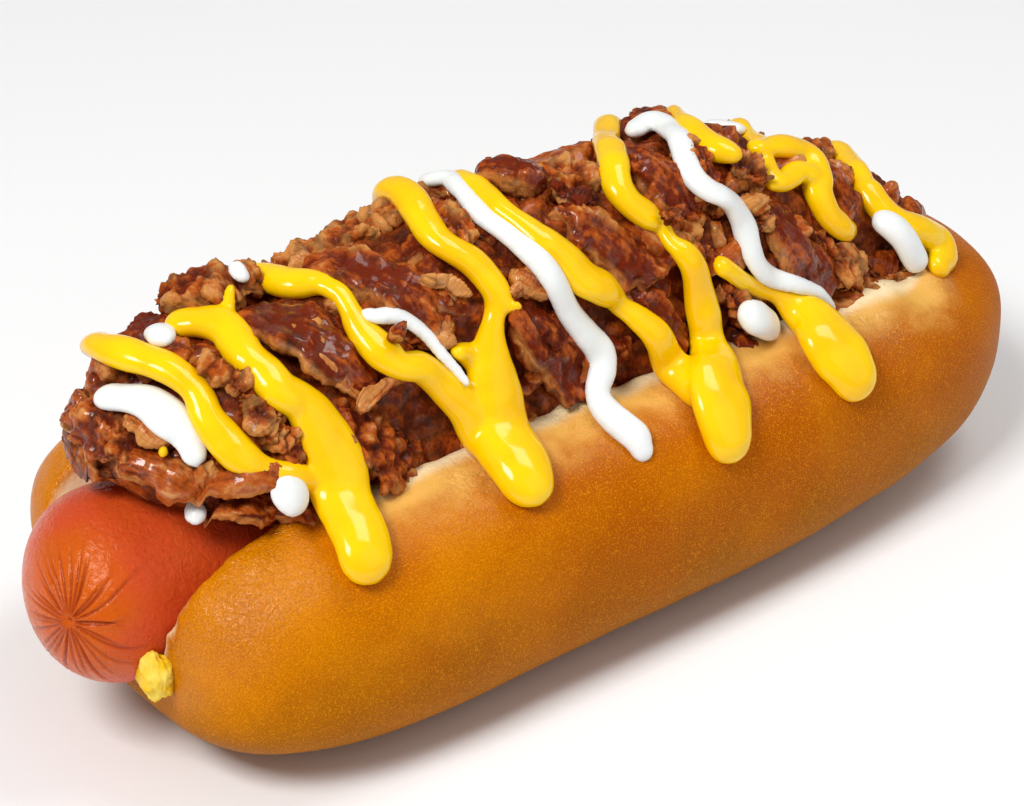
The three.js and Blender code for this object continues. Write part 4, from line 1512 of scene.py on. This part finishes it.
MUSTARD_LINES: tuple[Line, ...] = (
    (
        (-54, 40, 3.6), (-66, 20, 4.2), (-69, 10, 4.4), (-68, 3, 5.2), (-66, -3, 4.8), (-64.5, -8, 4.4),
        (-63.5, -13, 4), (-64, -18, 4.4), (-63.5, -22, 5.2), (-62, -30, 4.8), (-59.5, -34, 3.6),
        (-55.5, -38, 3.4), (-52.5, -40, 3.6),
    ),
    (
        (-61, 5, 5.2), (-58, 2, 4.8), (-56, -2, 5.6), (-55.5, -6, 5.4), (-56, -12, 5.2),
        (-55, -16, 4.8), (-54.5, -21, 5.6), (-52, -24, 5.8), (-50.5, -29, 6.8), (-49.5, -38, 8.2),
        (-50.5, -47, 8), (-51.5, -57, 8), (-52.5, -63, 7.2), (-52.5, -68, 7),
    ),
    (
        (-55.5, -3, 2.2), (-54.5, -2, 2.2), (-52.5, 1, 1.2), (-51.5, 2, 0.4),
    ),
    (
        (-27, 44, 4.4), (-37, 27, 4.4), (-45, 12, 3.8), (-44.5, 6, 4.6), (-43.5, 0, 5.2),
        (-42, -2, 4.8), (-40.5, -4, 3.4), (-39.5, -8, 3.2), (-39.5, -12, 3), (-39.5, -15, 3.8),
        (-39, -19, 4.8), (-38, -23, 5), (-36.5, -26, 4), (-33.5, -27, 4.8), (-30.5, -31, 5.4),
        (-27.5, -38, 6.4), (-26, -46, 7.2), (-26, -54, 7.2), (-25.5, -61, 7.4), (-24.5, -65, 7.2),
    ),
    (
        (-1, 45, 4.6), (-12, 27, 4.6), (-20.5, 12, 4.8), (-22, 3, 4.8), (-23, -6, 4.4), (-22, -10, 4.4),
        (-20, -13, 4.6), (-19, -16, 4.2), (-18.5, -20, 4), (-20, -23, 2.8), (-22, -28, 4.8),
        (-23, -33, 6.8), (-23.5, -41, 8), (-24.5, -49, 8.6), (-25, -56, 8.4), (-25.5, -61, 7.6),
        (-25.5, -66, 7.6),
    ),
    (
        (-28.5, -27, 2), (-25.5, -27, 3.6), (-23, -30, 4.8), (-21.5, -32, 4.6),
    ),
    (
        (-19, -20, 2.6), (-18.5, -21, 2.4), (-17.5, -23, 1.6), (-16.5, -25, 0.4),
    ),
    (
        (10, 42, 4.4), (0, 25, 4), (-9, 11, 3.2), (-11, 2, 3.6), (-11.5, -5, 3.6), (-10.5, -10, 3.6),
        (-9, -15, 4.6), (-6.5, -19, 5.2), (-4.5, -23, 5.6), (-2, -25, 5.6), (0, -27, 4),
        (0.5, -29, 3.2), (2, -32, 3.6), (4, -38, 4.6), (6, -44, 5.2), (7, -50, 5.6), (8, -56, 7),
        (9.5, -60, 6.8),
    ),
    (
        (40, 46, 4.4), (28, 27, 4), (16, 8, 3.8), (11.5, -1, 4.4), (8, -8, 4.4), (8, -12, 4.6),
        (10, -16, 4.4), (11.5, -18, 2.8), (11.5, -22, 2.4), (12.5, -25, 3.6), (14, -30, 4.4),
        (14.5, -36, 5.2), (14.5, -43, 5.2), (13, -51, 7.2), (10, -57, 9.6), (8.5, -63, 9.6),
        (7.5, -70, 7.6), (7.5, -75, 7.6),
    ),
    (
        (46, 40, 4.4), (37, 24, 3.6), (29.5, 8, 2), (27, 0, 3), (26, -7, 4.6), (27, -11, 4),
        (28, -14, 2),
    ),
    (
        (54, 38, 4.4), (46, 20, 4), (42.5, 9, 2.6), (40.5, 2, 2.8), (39, -4, 3.2), (38, -8, 3.2),
    ),
    (
        (17.5, -29, 3.4), (19, -30, 3.4), (22, -33, 3), (26, -36, 2.8), (29.5, -39, 3.4),
        (31.5, -45, 5.2), (32.5, -51, 8), (32, -59, 9.8), (32.5, -64, 9), (33, -68, 7.6),
        (34, -74, 7.6),
    ),
    (
        (34, -8, 3.6), (36.5, -8, 3.4), (40.5, -8, 4.4), (44, -9, 4.4), (45, -12, 4), (43.5, -17, 4.8),
        (42.5, -20, 4.4), (43, -25, 4.4), (45, -28, 4.8), (47, -29, 3.8), (48, -31, 3.6),
    ),
    (
        (36.5, -9, 2.8), (35.5, -11, 2.8), (34, -16, 3.2), (36, -17, 3.2), (40, -15, 3.6),
        (42, -16, 3.6), (44, -17, 3.8),
    ),
    (
        (66, 30, 4.2), (62, 8, 4.2), (57.5, -12, 3.2), (56.5, -17, 4.6), (56.5, -24, 4.6),
        (58.5, -31, 4.4), (62.5, -35, 4.8), (66.5, -40, 5.2), (66, -46, 4.8), (63.5, -49, 4),
        (61.5, -52, 4),
    ),
    (
        (-70.5, -18, 1.8), (-70, -19, 1.8),
    ),
)
MAYONNAISE_LINES: tuple[Line, ...] = (
    (
        (-73, 3, 4.2), (-72, 0, 4.8), (-70.5, -4, 4.8), (-69, -9, 5.6), (-68, -14, 6), (-67, -18, 5.2),
        (-67, -22, 3.8), (-67.5, -26, 2.8),
    ),
    (
        (-68.5, -30, 3.2), (-67.5, -31, 3.8), (-66, -32, 3.6),
    ),
    (
        (-64, -2, 3), (-63, 2, 4), (-61.5, 7, 3.6),
    ),
    (
        (-49.5, 5, 2.2), (-50, 3, 2.4), (-49.5, 1, 2.4),
    ),
    (
        (-39, -14, 2), (-37, -16, 2.4), (-34.5, -17, 2.6), (-32.5, -19, 2.4), (-31, -22, 2.2),
        (-30, -26, 1.8), (-28.5, -31, 1.2), (-28, -35, 0.4),
    ),
    (
        (8, 48, 4.2), (-4, 28, 3.6), (-13, 13, 3), (-12, 9, 3.2), (-13.5, 2, 2.8), (-14.5, -5, 3.4),
        (-13, -10, 3.6), (-12, -15, 4), (-11, -21, 4), (-9, -26, 4.2), (-6.5, -31, 4.4),
        (-4.5, -36, 4.8), (-5, -41, 4), (-7, -46, 3.6), (-7.5, -51, 4.4), (-7, -56, 4.4),
        (-6, -61, 4.4), (-6, -64, 3.6), (-5.5, -67, 3.6),
    ),
    (
        (19.5, 8, 3.6), (20.5, 7, 3.4), (24.5, 8, 4), (25, 5, 3.6), (22.5, -3, 3.6), (20, -9, 3.4),
        (19, -14, 3.6), (20, -18, 4), (23.5, -20, 4.4), (25, -23, 4), (25, -28, 3.8), (26, -32, 3.8),
        (29, -36, 3.2), (32.5, -40, 2.8), (36.5, -44, 2), (39.5, -50, 0.8),
    ),
    (
        (54, 50, 4.2), (45, 30, 3.8), (34.5, 10, 2.2), (36.5, 7, 3), (38.5, 5, 3), (40.5, 4, 2),
    ),
    (
        (19.5, -42, 4.6), (23.5, -45, 5.4), (28, -48, 4.4),
    ),
    (
        (54, -26, 4), (55, -31, 4.6), (57, -38, 5), (59, -45, 4.8), (59.5, -49, 4.4),
    ),
    (
        (-60.5, -39, 3.8), (-58, -42, 5.4), (-56, -45, 5.2),
    ),
)


def smoothed(values: Array, reach: int) -> Array:
    """Running average over so many neighbours each side, holding the ends."""
    padded = np.pad(values, reach, mode="edge")
    weights = np.hanning(2 * reach + 3)[1:-1]
    return np.convolve(padded, weights / weights.sum(), mode="valid")


@dataclass
class Sauce:
    """All the lines of one sauce, run together where they meet."""

    name: str
    slot: str
    lines: tuple[Line, ...]
    finish: SauceFinish
    seat: float = 0.3
    plumping: float = 0.22
    voxel: float = 0.4
    smoothing: int = 10
    fullness: float = 0.66
    pitch: float = 0.8
    around: int = 28
    feel_from: float = 70.0
    sag: float = 2.0
    climb: float = 4.5

    def curve(self, stations: Array, count: int) -> Array:
        """A smooth run through stations.

        Args:
            stations: The places that it passes, one row each.
            count: How many points to give.

        Returns:
            Points evenly spaced along the run.
        """
        before_first = 2 * stations[:1] - stations[1:2]
        after_last = 2 * stations[-1:] - stations[-2:-1]
        padded = np.concatenate([before_first, stations, after_last])
        run = []
        for start in range(len(stations) - 1):
            before, first, second, after = padded[start : start + 4]
            t = np.linspace(0, 1, 24, endpoint=False)[:, None]
            run.append(
                0.5
                * (
                    2 * first
                    + (second - before) * t
                    + (2 * before - 5 * first + 4 * second - after) * t**2
                    + (3 * first - before - 3 * second + after) * t**3
                )
            )
        run = np.concatenate([*run, stations[-1:]])
        gone = np.concatenate([[0], np.cumsum(np.linalg.norm(np.diff(run, axis=0), axis=1))])
        even = np.linspace(0, gone[-1], count)
        return np.stack([np.interp(even, gone, run[:, axis]) for axis in range(run.shape[1])], axis=-1)

    def support(self, x: Array, degrees: Array, width: Array, under: list[BVHTree]) -> Array:
        """How far from the sauce axis the food below a line stands.

        Args:
            x: Places along the roll.
            degrees: Angles round the sauce axis.
            width: The line's width at each place.
            under: What the line may lie on.

        Returns:
            The distance from the axis, at each place.
        """
        base = laid_points(x, degrees)
        floor = np.linalg.norm((base - np.array([0, 0, SAUCE_AXIS_HEIGHT]))[:, 1:], axis=1)
        highest = floor - self.sag
        for shift in (-0.35, 0.0, 0.35):
            angle = np.radians(degrees) + shift * width / floor
            away = np.stack([x * 0, np.sin(angle), np.cos(angle)], axis=-1)
            axis = np.stack([x, x * 0, x * 0 + SAUCE_AXIS_HEIGHT], axis=-1)
            starts = to_frame(axis + away * self.feel_from)
            for number, (start, way) in enumerate(zip(starts, away)):
                for tree in under:
                    found = tree.ray_cast(Vector(start), Vector(-way))
                    if found[0] is not None:
                        reach = self.feel_from - found[3] / MILLIMETRE
                        highest[number] = max(highest[number], reach - abs(shift) * 1.5)
        return np.clip(highest, floor - self.sag, floor + self.climb)

    def line_body(self, line: Line, seed: int, under: list[BVHTree]) -> Body:
        """One line laid over the food.

        Args:
            line: Its stations, each a place along the roll, an angle in degrees and a width.
            seed: Its own repeatable draw.
            under: What it may lie on.

        Returns:
            A closed rope of sauce.
        """
        stations = np.array(line, float)
        rough = laid_points(stations[:, 0], stations[:, 1])
        length = np.linalg.norm(np.diff(rough, axis=0), axis=1).sum()
        count = max(16, int(length / self.pitch))
        evened = np.array([1, 0.62, 1])
        route = self.curve(stations * evened, count) / evened
        step = np.linspace(0, 1, count)
        width = np.maximum(0.5, route[:, 2])
        run = np.stack([step * length, step * 0, step * 0 + seed * 11.0], axis=-1)
        width = width * (1 + 0.04 * smooth_noise(run, 6.0, seed) + 0.04 * smooth_noise(run, 2.5, seed + 1))
        reach = self.support(route[:, 0], route[:, 1], width, under)
        reach = smoothed(np.maximum(smoothed(reach, 5), reach - 0.35), 5)
        thickness = np.clip(width * self.fullness, 1.2, 4.2)
        reach = reach + thickness * self.seat
        angle = np.radians(route[:, 1])
        height = SAUCE_AXIS_HEIGHT + reach * np.cos(angle)
        centre = np.stack([route[:, 0], reach * np.sin(angle), height], axis=-1)
        gone = np.concatenate([[0], np.cumsum(np.linalg.norm(np.diff(centre, axis=0), axis=1))])
        tangent = np.gradient(centre, axis=0)
        tangent /= np.linalg.norm(tangent, axis=1, keepdims=True)
        up = outward(centre)
        side = np.cross(tangent, up)
        side /= np.linalg.norm(side, axis=1, keepdims=True)
        over = np.cross(side, tangent)
        to_end = np.minimum(gone / (width[0] / 2), (gone[-1] - gone) / (width[-1] / 2))
        full = np.maximum(0.12, np.sqrt(np.clip(1 - (1 - np.clip(to_end, 0, 1)) ** 2, 0, 1)))
        turn = np.linspace(0, 2 * math.pi, self.around, endpoint=False)
        reach_side = (width / 2 * full)[:, None] * np.cos(turn)
        reach_over = (thickness / 2 * full)[:, None] * np.sin(turn)
        across = side[:, None] * reach_side[..., None]
        through = over[:, None] * reach_over[..., None]
        points = centre[:, None] + across + through
        ends = centre[[0, -1]]
        points = np.concatenate([ends[:1], points.reshape(-1, 3), ends[1:]])
        return Body(points, ball_faces(count, self.around), {})

    def build(self, under: list[BVHTree]) -> bpy.types.Object:
        """Lays every line and runs them together.

        Args:
            under: The surfaces that the lines may lie on.

        Returns:
            The sauce as one piece.
        """
        bodies = [self.line_body(line, number + 1, under) for number, line in enumerate(self.lines)]
        made = build_object(self.name, Body.joined(bodies))
        melt(made, self.voxel, self.smoothing)
        points = mesh_points(made.data)
        swell = self.plumping + smooth_noise(points, 4.5, 17) * 0.12
        move_points(made.data, points + mesh_normals(made.data) * swell[:, None])
        place_piece(made, self.finish.material(), self.slot)
        return made


@dataclass(frozen=True)
class Studio:
    """The floor, the soft lights and the camera that the photograph was matched with."""

    azimuth: float = -38.0
    elevation: float = 31.0
    distance: float = 420.0
    target: tuple[float, float, float] = (-5.94, 0.0, 27.74)
    focal_pixels: float = 2880.0
    frame_width: float = 1024.0
    sensor: float = 36.0

    def direction(self, azimuth: float, elevation: float) -> Vector:
        """The direction towards a place at an azimuth and an elevation, in degrees."""
        turn = math.radians(azimuth)
        rise = math.radians(elevation)
        return Vector((math.sin(turn) * math.cos(rise), -math.cos(turn) * math.cos(rise), math.sin(rise)))

    def build(self) -> None:
        """Sets up the whole studio."""
        target = Vector(to_frame(np.array(self.target)))
        self.add_camera(target)
        self.add_floor()
        self.add_light("key", target, -75, 52, 0.9, 0.3, 6.2)
        self.add_light("fill", target, 25, 30, 1.0, 0.9, 1.1)
        self.add_light("top", target, 75, 64, 0.9, 0.4, 2.6)
        world = bpy.data.worlds.new("studio")
        world.use_nodes = True
        background = world.node_tree.nodes["Background"]
        background.inputs["Color"].default_value = (1, 1, 1, 1)
        background.inputs["Strength"].default_value = 0.3
        bpy.context.scene.world = world
        bpy.context.scene.view_settings.view_transform = "Standard"

    def add_camera(self, target: Vector) -> None:
        """Puts the camera where the photograph was taken from."""
        data = bpy.data.cameras.new("camera")
        data.sensor_width = self.sensor
        data.lens = self.focal_pixels * self.sensor / self.frame_width
        camera = bpy.data.objects.new("camera", data)
        back = self.direction(self.azimuth, self.elevation)
        camera.location = target + back * self.distance * MILLIMETRE
        camera.rotation_euler = (-back).to_track_quat("-Z", "Y").to_euler()
        bpy.context.scene.collection.objects.link(camera)
        bpy.context.scene.camera = camera

    def add_light(
        self,
        name: str,
        target: Vector,
        azimuth: float,
        elevation: float,
        distance: float,
        size: float,
        power: float,
    ) -> None:
        """Hangs one square soft light that faces the hot dog.

        Args:
            name: The light's name.
            target: What it faces.
            azimuth: Where it hangs round the hot dog, in degrees.
            elevation: How high it hangs, in degrees.
            distance: How far away it hangs, in metres.
            size: The length of its sides, in metres.
            power: Its power in watts.
        """
        data = bpy.data.lights.new(name, "AREA")
        data.size = size
        data.energy = power
        light = bpy.data.objects.new(name, data)
        back = self.direction(azimuth, elevation)
        light.location = target + back * distance
        light.rotation_euler = (-back).to_track_quat("-Z", "Y").to_euler()
        bpy.context.scene.collection.objects.link(light)

    def add_floor(self) -> None:
        """Lays a plain pale floor under the part."""
        mesh = bpy.data.meshes.new("floor")
        reach = 6.0
        corners = [(-reach, -reach, 0), (reach, -reach, 0), (reach, reach, 0), (-reach, reach, 0)]
        mesh.from_pydata(corners, [], [(0, 1, 2, 3)])
        floor = bpy.data.objects.new("floor", mesh)
        material, nodes = new_material("pale floor")
        mottle = nodes.ramp(nodes.noise(3, 2), (0.3, 0.0), (0.7, 1.0))
        colour = nodes.mix(mottle, (0.9, 0.9, 0.9), (0.92, 0.92, 0.92))
        nodes.surface({"Base Color": colour, "Roughness": 0.8})
        mesh.materials.append(material)
        bpy.context.scene.collection.objects.link(floor)


def surface_tree(made: bpy.types.Object) -> BVHTree:
    """A piece's surface, ready to be felt for from outside."""
    return BVHTree.FromObject(made, bpy.context.evaluated_depsgraph_get())


def main() -> None:
    """Builds every piece in order."""
    logging.basicConfig(level=logging.INFO, format="%(message)s")
    Studio().build()
    roll = Bun()
    bun = roll.build()
    roll.build_torn_crumb()
    frankfurter = Frankfurter().build()
    heap = MeatHeap()
    meat = heap.build()
    under = [surface_tree(piece) for piece in [bun, frankfurter, *meat]]
    mustard = Sauce("mustard", "mustard", MUSTARD_LINES, MUSTARD).build(under)
    white = Sauce("mayonnaise", "mayonnaise", MAYONNAISE_LINES, MAYONNAISE, fullness=0.52)
    white.build([*under, surface_tree(mustard)])
    heap.build_top()


if __name__ == "__main__":
    main()
